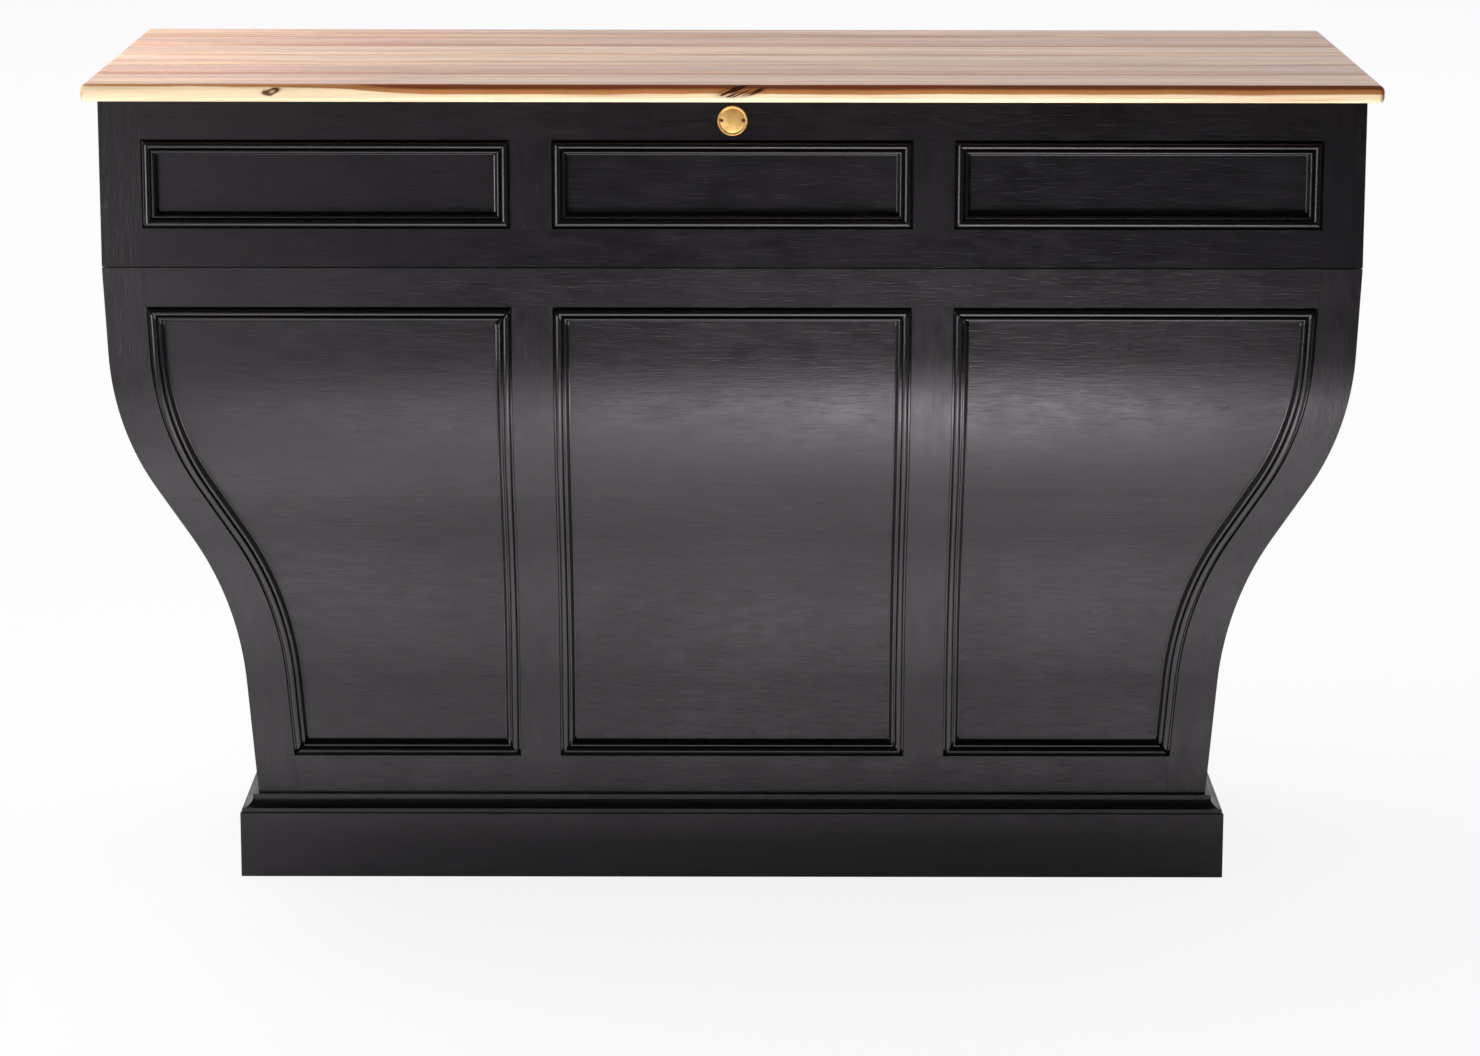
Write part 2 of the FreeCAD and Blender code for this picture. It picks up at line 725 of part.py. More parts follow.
def build_body():
    """Ogee case: a tenoned front frame with three bent panels, and plain bent ends mitred to it."""
    depth = ("-case_front", "case_back")
    wall = common(along_front(ogee_band("0", "frame_thickness")), front_corner)

    def behind(near, far, margin):
        """Cut a bent layer to the three openings, each grown by a margin."""
        layer = common(along_front(ogee_band(near, far)), between_ends(f"end_stile_width - ({margin})"))
        spans = {
            "left": ("-case_side", f"({margin}) - outer_edge"),
            "centre": grown(BAYS["centre"], margin),
            "right": (f"outer_edge - ({margin})", "case_side"),
        }
        return {name: common(layer, box(span, depth, grown(BODY, margin))) for name, span in spans.items()}

    panels = behind("panel_setback + joint_gap", "panel_setback + panel_thickness", "panel_lap")
    pockets = together(behind("panel_setback", "frame_thickness + overrun", "panel_lap + panel_play").values())

    def tenon_layer(play):
        """Make the bent layer in which the tenons lie, between the ends of the rails' tenons."""
        layer = ogee_band(f"tenon_setback - ({play})", f"tenon_setback + tenon_thickness + ({play})")
        return common(along_front(layer), between_ends(f"end_stile_width - tenon_length - ({play})"))

    tongues, sockets = tenon_layer("0"), tenon_layer("tenon_play")
    muntin_tongue = (grown(MUNTIN, "-tenon_shoulder"), grown(BODY, "tenon_length"))
    muntin_socket = common(sockets, box(grown(muntin_tongue[0], "tenon_play"), depth,
                                        grown(muntin_tongue[1], "tenon_play")))
    rail_space = between_ends("end_stile_width + joint_gap")
    rail_heights = {"top": ("body_opening_top", "seam"), "bottom": ("plinth_height", "body_opening_bottom")}
    mortises = []
    for name, heights in rail_heights.items():
        tongue = grown(heights, "-tenon_shoulder")
        rail = common(wall, rail_space, box(balanced("case_side"), depth, heights))
        rail = fused(rail, common(tongues, box(balanced("case_side"), depth, tongue)))
        node(f"body_{name}_rail", cut(rail, pockets, muntin_socket, mirrored(muntin_socket)))
        mortises.append(common(sockets, box(balanced("case_side"), depth, grown(tongue, "tenon_play"))))
    left_half = box(("-case_side", "0"), depth, ("plinth_height", "seam"))
    beside_stile = along_end(ogee_inside("0", "case_length"), "end_stile_width")
    both_ends("body_stile", cut(common(wall, left_half), beside_stile, pockets, *mortises))
    muntin = fused(common(wall, box(MUNTIN, depth, BODY)),
                   common(tongues, box(muntin_tongue[0], depth, muntin_tongue[1])))
    both_ends("body_muntin", cut(muntin, pockets))
    for name, panel in panels.items():
        node(f"body_panel_{name}", panel)
    both_ends("body_end", cut(along_end(ogee_band("0", "frame_thickness")), front_corner))


def build_inside():
    """Floor, partitions and shelves, scribed to the ogee walls; the shelves are let into the partitions."""
    depth = ("-case_front", "case_back")
    left_end = along_end(ogee_inside("inside_offset", "case_length"))
    hollow = common(along_front(ogee_inside("inside_offset", "case_depth")), left_end, mirrored(left_end))
    node("floor_board", common(hollow, box(balanced("case_side"), depth, ("plinth_height", "floor_top"))))
    shelf_depth = ("-case_front", "case_back - shelf_inset")
    shelf_height = ("shelf_level", "shelf_level + shelf_thickness")
    housing = "divider_centre + divider_thickness / 2 - dado_depth"
    outer = common(hollow, box(("-case_side", f"-({housing})"), shelf_depth, shelf_height))
    middle = common(hollow, box(balanced("divider_centre - divider_thickness / 2 + dado_depth"),
                                shelf_depth, shelf_height))
    partition = common(hollow, box(
        ("-divider_centre - divider_thickness / 2", "divider_thickness / 2 - divider_centre"),
        depth, ("floor_top", "seam")))
    both_ends("partition", cut(partition, outer, middle))
    both_ends("shelf", outer)
    node("shelf_centre", middle)
    batten = common(hollow, box(("-case_side", "batten_reach - case_side"), shelf_depth,
                                ("shelf_level - batten_height", "shelf_level")))
    node("shelf_battens", batten, mirrored(batten))


def build_drawer(name, bay):
    """Drawer on the deck: a box with its bottom in grooves, an inset front and a turned knob."""
    low, high = bay
    outside = (f"{low} + drawer_side_play", f"{high} - drawer_side_play")
    inside = grown(outside, "-drawer_side_thickness")
    top = "drawer_underside + drawer_side_height"
    floor = "drawer_underside + drawer_bottom_level"
    floor_top = f"{floor} + drawer_bottom_thickness"
    bottom = box(grown(inside, "drawer_groove"), ("drawer_end", "drawer_front_back + drawer_groove"),
                 (floor, floor_top))
    front = box(grown(bay, "-drawer_gap"), ("drawer_front_back", "drawer_face"),
                ("deck_top + drawer_gap", "frieze_top - drawer_gap"))
    sides = [box(span, ("drawer_end", "drawer_front_back"), ("drawer_underside", top))
             for span in ((outside[0], inside[0]), (inside[1], outside[1]))]
    back = box(inside, ("drawer_end", "drawer_end + drawer_side_thickness"), (floor_top, top))
    node(f"drawer_{name}_front", cut(front, bottom))
    node(f"drawer_{name}_box", *(cut(side, bottom) for side in sides), back)
    node(f"drawer_{name}_bottom", bottom)
    middle = f"(({low}) + ({high})) / 2"
    knob_parts = {
        "knob_stem_radius": ("0", "knob_stem_length"),
        "knob_radius": ("knob_stem_length", "knob_length"),
    }
    knob = []
    for radius, (near, far) in knob_parts.items():
        turned = doc.addObject("Part::Prism", "turned")
        bind(turned, "Polygon", "knob_side_count")
        bind(turned, "Circumradius", radius)
        bind(turned, "Height", f"{far} - {near}")
        move(turned, Rotation(Vector(0, 0, 1), Vector(0, 1, 0)),
             (middle, f"drawer_face + {near}", "(deck_top + frieze_top) / 2"))
        knob.append(turned)
    node(f"drawer_{name}_knob", fused(*knob))


def build_drawers():
    outer = "divider_centre + divider_thickness / 2"
    build_drawer("left", ("-wall_inside", f"-({outer})"))
    build_drawer("centre", balanced("divider_centre - divider_thickness / 2"))
    build_drawer("right", (outer, "wall_inside"))


def build_plinth():
    """Moulded base boards, mitred at the front corners, with a plain board at the back."""
    def section():
        step = "plinth_quirk + plinth_hollow"
        return outline([
            ("0", "0"),
            ("plinth_thickness", "0"),
            ("plinth_thickness", "plinth_height"),
            (step, "plinth_height"),
            (step, "plinth_height - plinth_step", "-plinth_hollow_radius"),
            ("plinth_quirk", "plinth_face_height + plinth_step"),
            ("plinth_quirk", "plinth_face_height + plinth_ledge"),
            ("0", "plinth_face_height"),
        ])

    front = extrude(section(), PLANES["side"],
                    ("-plinth_side", "plinth_recess - case_front", "0"), "2 * plinth_side")
    node("plinth_front", common(front, front_corner))
    end = extrude(section(), PLANES["front"], ("-plinth_side", "case_back", "0"), "case_depth")
    both_ends("plinth", cut(end, front_corner))
    node("plinth_back", box(balanced("plinth_side - plinth_thickness"),
                            ("case_back - plinth_back_thickness", "case_back"), ("0", "plinth_height")))


def build_disc():
    """Bare brass disc with a raised rim, held on the frieze by two nails."""
    height = "frieze_top - frieze_top_rail_width / 2"
    face = "-disc_thickness"
    rim = f"{face} - disc_rim_height"
    disc = outline([
        ("0", "0"),
        ("0", face),
        ("disc_radius - disc_rim_width", face),
        ("disc_radius - disc_rim_width", rim),
        ("disc_radius", rim),
        ("disc_radius", "0"),
    ])
    node("brass_disc", revolve(disc, ("0", "-case_front", height)))
    nails = []
    for side in ("-nail_spacing / 2", "nail_spacing / 2"):
        head = outline([
            ("0", "0"),
            ("0", "-nail_height"),
            ("nail_radius * nail_crown_share", "-nail_height"),
            ("nail_radius", "0"),
        ])
        nails.append(revolve(head, (side, "-case_front - disc_thickness", height)))
    node("disc_nails", *nails)


build_top()
build_frieze()
build_frieze_mouldings()
build_body()
build_body_mouldings()
build_inside()
build_drawers()
build_plinth()
build_disc()
doc.recompute()

for item in doc.Objects:
    if "Invalid" in item.State or "Error" in item.State:
        raise RuntimeError(f"{item.Label} did not build: {item.getStatusString()}")
os.makedirs("parts", exist_ok=True)
for piece in nodes:
    if piece.Shape.isNull() or not piece.Shape.isValid() or not piece.Shape.Solids:
        raise RuntimeError(f"{piece.Label} is not a sound solid")
    piece.Shape.exportStep(f"parts/{piece.Label}.step")
    print(piece.Label, len(piece.Shape.Solids), round(piece.Shape.Volume))
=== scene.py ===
# %% [markdown]
# # A bar counter with an ogee front
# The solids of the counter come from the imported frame, in metres, and everything that is made here sits on
# them. The plank top, the bent boards of the body, the mouldings, the knobs, the brass disc and its nails
# are made again with finer curves, because a bent board in satin black shows every facet in its highlight.
# The straight boards are right as they are, and only get a finish.

# %% Load the frame
import json
import math
import bmesh
import bpy
from mathutils import Matrix, Vector


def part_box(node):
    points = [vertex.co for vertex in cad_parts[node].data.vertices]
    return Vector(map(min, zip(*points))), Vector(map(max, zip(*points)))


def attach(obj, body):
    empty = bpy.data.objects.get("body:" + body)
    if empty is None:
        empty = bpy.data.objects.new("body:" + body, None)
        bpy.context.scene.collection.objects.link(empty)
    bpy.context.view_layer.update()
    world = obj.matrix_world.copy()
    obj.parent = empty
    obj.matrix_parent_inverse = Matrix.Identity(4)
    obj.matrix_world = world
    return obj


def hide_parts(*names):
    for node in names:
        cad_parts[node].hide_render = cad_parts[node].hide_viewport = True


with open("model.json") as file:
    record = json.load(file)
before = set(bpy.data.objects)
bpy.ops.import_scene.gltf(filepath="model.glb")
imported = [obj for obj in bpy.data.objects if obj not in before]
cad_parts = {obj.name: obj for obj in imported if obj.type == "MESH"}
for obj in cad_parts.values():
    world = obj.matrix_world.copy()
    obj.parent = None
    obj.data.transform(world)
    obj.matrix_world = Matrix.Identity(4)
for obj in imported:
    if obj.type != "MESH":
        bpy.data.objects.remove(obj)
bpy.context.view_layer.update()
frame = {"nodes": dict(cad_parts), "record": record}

# %% [markdown]
# ## Camera
# The counter was photographed from far away with a long lens, a little above the top, so its verticals
# hardly converge. The place, the tilt and the lens below were worked out from the corners of the top and
# the plinth.

# %% Place the camera
CAMERA_PLACE = (0.01, -6.01, 1.708)
CAMERA_TILT = 77.985
CAMERA_ROLL = 0.08
CAMERA_LENS = 113.03
SENSOR_WIDTH = 36

lens = bpy.data.cameras.new("camera")
lens.sensor_fit = "HORIZONTAL"
lens.sensor_width = SENSOR_WIDTH
lens.lens = CAMERA_LENS
camera = bpy.data.objects.new("camera", lens)
tilt = Matrix.Rotation(math.radians(CAMERA_TILT), 4, "X")
roll = Matrix.Rotation(math.radians(CAMERA_ROLL), 4, "Z")
camera.matrix_world = Matrix.Translation(CAMERA_PLACE) @ tilt @ roll
bpy.context.collection.objects.link(camera)
bpy.context.scene.camera = camera
print("camera at", CAMERA_PLACE, "with a lens of", CAMERA_LENS, "mm")

# %% [markdown]
# ## Node helpers
# Every finish is a node tree that ends in one Principled shader. The nodes could be added and linked one
# by one, but small helpers keep the trees short: one starts a finish, one feeds a socket with a number or
# with another node's output, one adds a node, and the rest add the few nodes that come back all the time,
# such as a sum, a mix, a noise and a bump.

# %% Helpers for finishes
def start_finish(name):
    finish = bpy.data.materials.new(name)
    finish.use_nodes = True
    tree = finish.node_tree
    return finish, tree, tree.nodes["Principled BSDF"]


def feed(tree, socket, source):
    if isinstance(source, bpy.types.NodeSocket):
        tree.links.new(source, socket)
    else:
        socket.default_value = source


def put(tree, kind, settings=None, **inputs):
    node = tree.nodes.new(kind)
    for name, value in (settings or {}).items():
        setattr(node, name, value)
    for name, source in inputs.items():
        feed(tree, node.inputs[name.replace("_", " ")], source)
    return node


def sums(tree, operation, first, second=0.0, third=0.0):
    node = put(tree, "ShaderNodeMath", {"operation": operation})
    for socket, source in zip(node.inputs, (first, second, third)):
        feed(tree, socket, source)
    return node.outputs[0]


def mixed(tree, factor, first, second, mode="MIX"):
    node = put(tree, "ShaderNodeMix", {"data_type": "RGBA", "blend_type": mode, "clamp_factor": True})
    feed(tree, node.inputs[0], factor)
    feed(tree, node.inputs[6], first)
    feed(tree, node.inputs[7], second)
    return node.outputs[2]


def ranged(tree, value, low, high, to_low=0.0, to_high=1.0, smooth=True):
    node = put(tree, "ShaderNodeMapRange", {"interpolation_type": "SMOOTHSTEP" if smooth else "LINEAR"})
    for socket, source in zip(node.inputs, (value, low, high, to_low, to_high)):
        feed(tree, socket, source)
    return node.outputs[0]


def stretched(tree, source, scale, place=(0, 0, 0)):
    return put(tree, "ShaderNodeMapping", Vector=source, Scale=scale, Location=place).outputs[0]


def noise(tree, source, scale=1.0, detail=4.0, roughness=0.55, distortion=0.0):
    return put(tree, "ShaderNodeTexNoise", Vector=source, Scale=scale, Detail=detail,
               Roughness=roughness, Distortion=distortion).outputs["Fac"]


def here(tree):
    return put(tree, "ShaderNodeTexCoord").outputs["Object"]


def raised(tree, height, strength, distance):
    return put(tree, "ShaderNodeBump", Height=height, Strength=strength, Distance=distance).outputs[0]

# %% [markdown]
# ## Black satin paint
# The case is painted black with a brush over open-grained boards. The paint is never quite even: the grain
# shows as faint streaks along each board, and hands and knees rub it duller in patches. Noise that is
# stretched along the board gives the streaks, and a broad noise gives the patches. The frieze has a
# flatter coat than the body, and the mouldings have a glossier one that fills the grain.

# %% Paint the boards
PAINT_DARK = (0.0026, 0.0021, 0.0027, 1)
PAINT_LIGHT = (0.0048, 0.0040, 0.0049, 1)
PAINT_RUBBED = (0.0105, 0.0092, 0.0102, 1)
PAINT_SHEEN = (1.0, 0.93, 1.0, 1)
ALONG = {"level": (1, 14, 14), "upright": (14, 14, 1), "deep": (14, 1, 14)}
GRAIN_RATE, PORE_RATE, MOTTLE_RATE, PATCH_RATE = 20, 42, 26, 5.5
PORE_PLACE = (7, 5, 1)
MOTTLE_STRETCH = 0.4
GRAIN_SPAN, PORE_SPAN, WEAR_SPAN = (0.34, 0.68), (0.60, 0.72), (0.30, 0.70)
WORN_PATCHES, WORN_MOTTLE, WORN_SHARE = (0.60, 0.74), (0.45, 0.70), 0.5
PATCH_SHARE, MOTTLE_SHARE = 0.55, 0.45
MOTTLE_HEIGHT, PORE_HEIGHT = 1.5, -0.5
PAINT_RELIEF = 0.0005
SATIN, GLOSSY, DULL = (0.31, 0.46), (0.21, 0.28), (0.50, 0.62)
FULL_SHINE, FLAT_SHINE, INSIDE_SHINE = 0.50, 0.37, 0.30
OPEN_GRAIN, FILLED_GRAIN = 0.34, 0.10
# Each coat: roughness, shine, relief, and the ways that its grain runs.
COATS = {
    "black": (SATIN, FULL_SHINE, OPEN_GRAIN, ("level", "upright", "deep")),
    "frieze": (SATIN, FLAT_SHINE, OPEN_GRAIN, ("level", "upright", "deep")),
    "moulding": (GLOSSY, FULL_SHINE, FILLED_GRAIN, ("level", "upright")),
}


def black_paint(name, run, roughness, specular, relief_share):
    finish, tree, shader = start_finish(name)
    place = here(tree)
    grain_scale = [GRAIN_RATE * step for step in ALONG[run]]
    pore_scale = [PORE_RATE * step for step in ALONG[run]]
    mottle_scale = [MOTTLE_RATE * step ** MOTTLE_STRETCH for step in ALONG[run]]
    grain = noise(tree, stretched(tree, place, grain_scale), detail=5, roughness=0.6, distortion=0.3)
    pores = noise(tree, stretched(tree, place, pore_scale, PORE_PLACE), detail=2, roughness=0.4)
    mottle = noise(tree, stretched(tree, place, mottle_scale), detail=4, roughness=0.6)
    patches = noise(tree, place, scale=PATCH_RATE, detail=5, roughness=0.6)

    colour = mixed(tree, ranged(tree, grain, *GRAIN_SPAN), PAINT_DARK, PAINT_LIGHT)
    rubbed = sums(tree, "MULTIPLY", ranged(tree, patches, *WORN_PATCHES), ranged(tree, mottle, *WORN_MOTTLE))
    colour = mixed(tree, sums(tree, "MULTIPLY", rubbed, WORN_SHARE), colour, PAINT_RUBBED)
    feed(tree, shader.inputs["Base Color"], colour)
    patch_wear = sums(tree, "MULTIPLY", patches, PATCH_SHARE)
    wear = sums(tree, "ADD", patch_wear, sums(tree, "MULTIPLY", mottle, MOTTLE_SHARE))
    feed(tree, shader.inputs["Roughness"], ranged(tree, wear, *WEAR_SPAN, *roughness))
    shader.inputs["Specular IOR Level"].default_value = specular
    shader.inputs["Specular Tint"].default_value = PAINT_SHEEN

    open_pores = sums(tree, "MULTIPLY", ranged(tree, pores, *PORE_SPAN), PORE_HEIGHT)
    relief = sums(tree, "ADD", grain, sums(tree, "MULTIPLY", mottle, MOTTLE_HEIGHT))
    relief = sums(tree, "ADD", relief, open_pores)
    feed(tree, shader.inputs["Normal"], raised(tree, relief, relief_share, PAINT_RELIEF))
    return finish


paints = {}
for coat, (roughness, specular, relief_share, runs) in COATS.items():
    for run in runs:
        paints[coat, run] = black_paint(f"{coat}_paint_{run}", run, roughness, specular, relief_share)
paint_inside = black_paint("inside_paint", "level", DULL, INSIDE_SHINE, OPEN_GRAIN)
print("black paint", len(paints), "ways outside and one inside")

# %% [markdown]
# ## Varnished planks
# The top is edge-glued softwood under glossy varnish. Each plank comes from another part of the log, so
# the finish works out the plank's number from its place across the top, and moves and tints the figure for
# each one. Six finishes would do as well, but one that counts the planks keeps them alike in gloss. The
# figure is a slow noise along the plank, with pale streaks and thin dark lines.

# %% Draw the figure of the planks
TOP_LOW, TOP_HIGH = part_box("counter_top")
PLANKS = 6
PLANK_WIDTH = (TOP_HIGH[1] - TOP_LOW[1]) / PLANKS
PLANK_JUMP = (9.0, 0.0, 5.0)
HEARTWOOD = (0.300, 0.130, 0.066, 1)
MIDWOOD = (0.440, 0.218, 0.124, 1)
PALE_STREAK = (0.630, 0.385, 0.255, 1)
FIGURE_SPAN, STREAK_SPAN = (0.36, 0.60), (0.48, 0.59)
DARK_LINE_SPAN, DARK_LINE_SHARE = (0.72, 0.98), 0.35
HUES, SATURATIONS, VALUES = (0.492, 0.508), (1.14, 1.02), (0.92, 1.08)


def plank_by_plank(tree, place, y):
    """Return a place that jumps from plank to plank, and a chance value for each plank."""
    across = sums(tree, "DIVIDE", sums(tree, "SUBTRACT", y, TOP_LOW[1]), PLANK_WIDTH)
    number = sums(tree, "FLOOR", across)
    chance = put(tree, "ShaderNodeTexWhiteNoise", {"noise_dimensions": "1D"}, W=number)
    apart = put(tree, "ShaderNodeVectorMath", {"operation": "MULTIPLY_ADD"})
    for socket, source in zip(apart.inputs, (chance.outputs["Color"], PLANK_JUMP, place)):
        feed(tree, socket, source)
    return apart.outputs[0], chance.outputs["Value"]


def plank_colour(tree, figure, streak, rings, chance):
    colour = mixed(tree, ranged(tree, figure, *FIGURE_SPAN), HEARTWOOD, MIDWOOD)
    colour = mixed(tree, ranged(tree, streak, *STREAK_SPAN), colour, PALE_STREAK)
    dark_line = sums(tree, "MULTIPLY", ranged(tree, rings, *DARK_LINE_SPAN), DARK_LINE_SHARE)
    colour = mixed(tree, dark_line, colour, HEARTWOOD)
    return put(tree, "ShaderNodeHueSaturation", Color=colour,
               Hue=ranged(tree, chance, 0, 1, *HUES),
               Saturation=ranged(tree, chance, 0, 1, *SATURATIONS),
               Value=ranged(tree, chance, 0, 1, *VALUES)).outputs[0]


print("planks", PLANKS, "each", round(PLANK_WIDTH, 3), "m wide")

# %% [markdown]
# ## Front edge of the planks
# The front edge is nearly white sapwood under a brown arris. The brown starts high at the left end and
# comes down over a short span. The edge could be a strip of its own, but a blend by height in the same
# finish, moved a little by noise, follows the rounded arris by itself.

# %% Draw the front edge
SAPWOOD = (0.930, 0.715, 0.470, 1)
EDGE_FIGURE = (0.440, 0.180, 0.058, 1)
ARRIS_BROWN = (0.200, 0.046, 0.010, 1)
BROWN_SPAN = (-0.52, -0.36)
BROWN_LEVELS = (TOP_LOW[2] + 0.0184, TOP_LOW[2] + 0.0105)
FIGURE_RISE, ARRIS_RISE = (-0.0010, 0.0012), (0.0042, 0.0078)
EDGE_SWAY, SWAY_RATE = 0.007, (5, 1, 1)
EDGE_STREAK_RATE, EDGE_STREAK_SPAN = (3.2, 60, 130), (0.45, 0.80)
EDGE_STREAK_SHARES = (0.0, 0.5)


def edge_colour(tree, place, x, z):
    sway = noise(tree, stretched(tree, place, SWAY_RATE), detail=4)
    height = sums(tree, "MULTIPLY_ADD", sums(tree, "SUBTRACT", sway, 0.5), EDGE_SWAY, z)
    brown = sums(tree, "SUBTRACT", height, ranged(tree, x, *BROWN_SPAN, *BROWN_LEVELS))
    streak = noise(tree, stretched(tree, place, EDGE_STREAK_RATE), detail=5, distortion=0.5)
    edge = mixed(tree, ranged(tree, streak, *EDGE_STREAK_SPAN, *EDGE_STREAK_SHARES), SAPWOOD, EDGE_FIGURE)
    edge = mixed(tree, ranged(tree, brown, *FIGURE_RISE), edge, EDGE_FIGURE)
    return mixed(tree, ranged(tree, brown, *ARRIS_RISE), edge, ARRIS_BROWN)


print("the brown of the front edge starts at", [round(level, 4) for level in BROWN_LEVELS], "m")

# %% [markdown]
# ## Knots
# Two knots sit in the front edge: a small one on the left with a dark outline, and a larger one in the
# middle, which breaks up into slanting dark strokes. They could be modelled, but a knot under varnish is
# flush, so they are drawn. The distance from a leaning ellipse gives the inside, the outline and the halo
# at once.

# %% Draw the knots
KNOT = (0.036, 0.009, 0.003, 1)
# Each knot: place along the edge, level, reach along, reach up, lean.
KNOTS = {"left": (-0.563, 1.0458, 0.0100, 0.0046, -1.1), "middle": (0.011, 1.0462, 0.0250, 0.0075, -1.6)}
KNOT_RATE, UNEVEN_SPAN, UNEVEN_SHIFTS = (70, 40, 110), (0.3, 0.7), (-0.28, 0.28)
LEFT_HALO, LEFT_HALO_SHARES = (1.5, 0.8), (0.0, 0.8)
LEFT_INSIDE, LEFT_OUTSIDE, LEFT_SHARE = (0.25, 0.60), (1.10, 0.80), 0.9
MIDDLE_HALO, MIDDLE_HALO_SHARES = (1.6, 0.7), (0.0, 0.45)
MIDDLE_OUTSIDE = (1.15, 0.85)
STROKE_SLANT, STROKE_RATE, STROKE_FADE, STROKE_SPAN = -2.4, 120, 45, (0.46, 0.51)


def knot_spread(tree, knot, x, z):
    """Return 0 in the middle of a knot and 1 on its outline."""
    along_at, up_at, reach, rise, lean = KNOTS[knot]
    up = sums(tree, "SUBTRACT", z, up_at)
    leaning = sums(tree, "MULTIPLY_ADD", up, lean, sums(tree, "SUBTRACT", x, along_at))
    both = put(tree, "ShaderNodeCombineXYZ", X=sums(tree, "DIVIDE", leaning, reach),
               Y=sums(tree, "DIVIDE", up, rise)).outputs[0]
    return put(tree, "ShaderNodeVectorMath", {"operation": "LENGTH"}, Vector=both).outputs["Value"]


def with_knots(tree, edge, place, x, z):
    uneven = noise(tree, stretched(tree, place, KNOT_RATE), detail=1)
    left = knot_spread(tree, "left", x, z)
    left = sums(tree, "ADD", left, ranged(tree, uneven, *UNEVEN_SPAN, *UNEVEN_SHIFTS))
    edge = mixed(tree, ranged(tree, left, *LEFT_HALO, *LEFT_HALO_SHARES), edge, EDGE_FIGURE)
    outline = sums(tree, "MULTIPLY", ranged(tree, left, *LEFT_INSIDE), ranged(tree, left, *LEFT_OUTSIDE))

    middle = knot_spread(tree, "middle", x, z)
    edge = mixed(tree, ranged(tree, middle, *MIDDLE_HALO, *MIDDLE_HALO_SHARES), edge, ARRIS_BROWN)
    slant = sums(tree, "MULTIPLY_ADD", z, STROKE_SLANT, x)
    slanted = put(tree, "ShaderNodeCombineXYZ", X=sums(tree, "MULTIPLY", slant, STROKE_RATE),
                  Y=sums(tree, "MULTIPLY", z, STROKE_FADE)).outputs[0]
    strokes = ranged(tree, noise(tree, slanted, detail=2), *STROKE_SPAN)
    dark_knot = sums(tree, "MULTIPLY", ranged(tree, middle, *MIDDLE_OUTSIDE), strokes)
    darkest = sums(tree, "MAXIMUM", sums(tree, "MULTIPLY", outline, LEFT_SHARE), dark_knot)
    return mixed(tree, darkest, edge, KNOT)


print("knots", sorted(KNOTS))

# %% [markdown]
# ## Varnish
# One glossy coat covers the whole slab. The finish joins the figure of the upper face, the sapwood of the
# front edge and the dark end grain of the right end, and blends them inside the rounded arrises. Three
# finishes on three sets of faces would show a hard line there, so one finish was chosen.

# %% Varnish the planks
FIGURE_RATE, STREAK_RATE, FIBRE_RATE = (1.3, 24, 24), (1.8, 52, 52), (9, 420, 420)
STREAK_PLACE = (2, 4, 1)
RING_STRETCH, RING_RATE, RING_WANDER = (0.5, 1, 1), 13.0, 7.0
FRONT_BLEND = (TOP_LOW[1] + 0.0075, TOP_LOW[1] + 0.0045)
END_BLEND = (TOP_HIGH[0] - 0.007, TOP_HIGH[0] - 0.002)
END_RING_SPAN, END_SHARE = (0.2, 0.9), 0.8
FIBRE_SPAN, FIBRE_SHADES = (0.2, 0.8), (0.82, 1.14)
VARNISH_SPAN, VARNISH_ROUGHNESS = (0.3, 0.75), (0.26, 0.36)
VARNISH_SHINE = 0.4
FIGURE_HEIGHT, FIBRE_HEIGHT = 0.6, 0.4
VARNISH_RELIEF_SHARE, VARNISH_RELIEF = 0.10, 0.0010


def plank_varnish():
    finish, tree, shader = start_finish("plank_varnish")
    place = here(tree)
    x, y, z = put(tree, "ShaderNodeSeparateXYZ", Vector=place).outputs
    plank, chance = plank_by_plank(tree, place, y)
    figure = noise(tree, stretched(tree, plank, FIGURE_RATE), detail=4, roughness=0.55, distortion=0.7)
    streak = noise(tree, stretched(tree, plank, STREAK_RATE, STREAK_PLACE), detail=4, roughness=0.6,
                   distortion=0.3)
    fibre = noise(tree, stretched(tree, plank, FIBRE_RATE), detail=3)
    rings = put(tree, "ShaderNodeTexWave", {"bands_direction": "Y"},
                Vector=stretched(tree, plank, RING_STRETCH), Scale=RING_RATE, Distortion=RING_WANDER,
                Detail=3.0, Detail_Scale=1.6).outputs["Fac"]

    colour = plank_colour(tree, figure, streak, rings, chance)
    edge = with_knots(tree, edge_colour(tree, place, x, z), place, x, z)
    colour = mixed(tree, ranged(tree, y, *FRONT_BLEND), colour, edge)
    end_grain = mixed(tree, ranged(tree, rings, *END_RING_SPAN), HEARTWOOD, ARRIS_BROWN)
    colour = mixed(tree, sums(tree, "MULTIPLY", ranged(tree, x, *END_BLEND), END_SHARE), colour, end_grain)
    fibres = ranged(tree, fibre, *FIBRE_SPAN, *FIBRE_SHADES, smooth=False)
    grey = put(tree, "ShaderNodeCombineColor", Red=fibres, Green=fibres, Blue=fibres).outputs[0]
    feed(tree, shader.inputs["Base Color"], mixed(tree, 1.0, colour, grey, "MULTIPLY"))

    feed(tree, shader.inputs["Roughness"], ranged(tree, streak, *VARNISH_SPAN, *VARNISH_ROUGHNESS))
    shader.inputs["Specular IOR Level"].default_value = VARNISH_SHINE
    figure_relief = sums(tree, "MULTIPLY", figure, FIGURE_HEIGHT)
    relief = sums(tree, "ADD", figure_relief, sums(tree, "MULTIPLY", fibre, FIBRE_HEIGHT))
    feed(tree, shader.inputs["Normal"], raised(tree, relief, VARNISH_RELIEF_SHARE, VARNISH_RELIEF))
    return finish


varnish = plank_varnish()
print("varnish on", PLANKS, "planks")

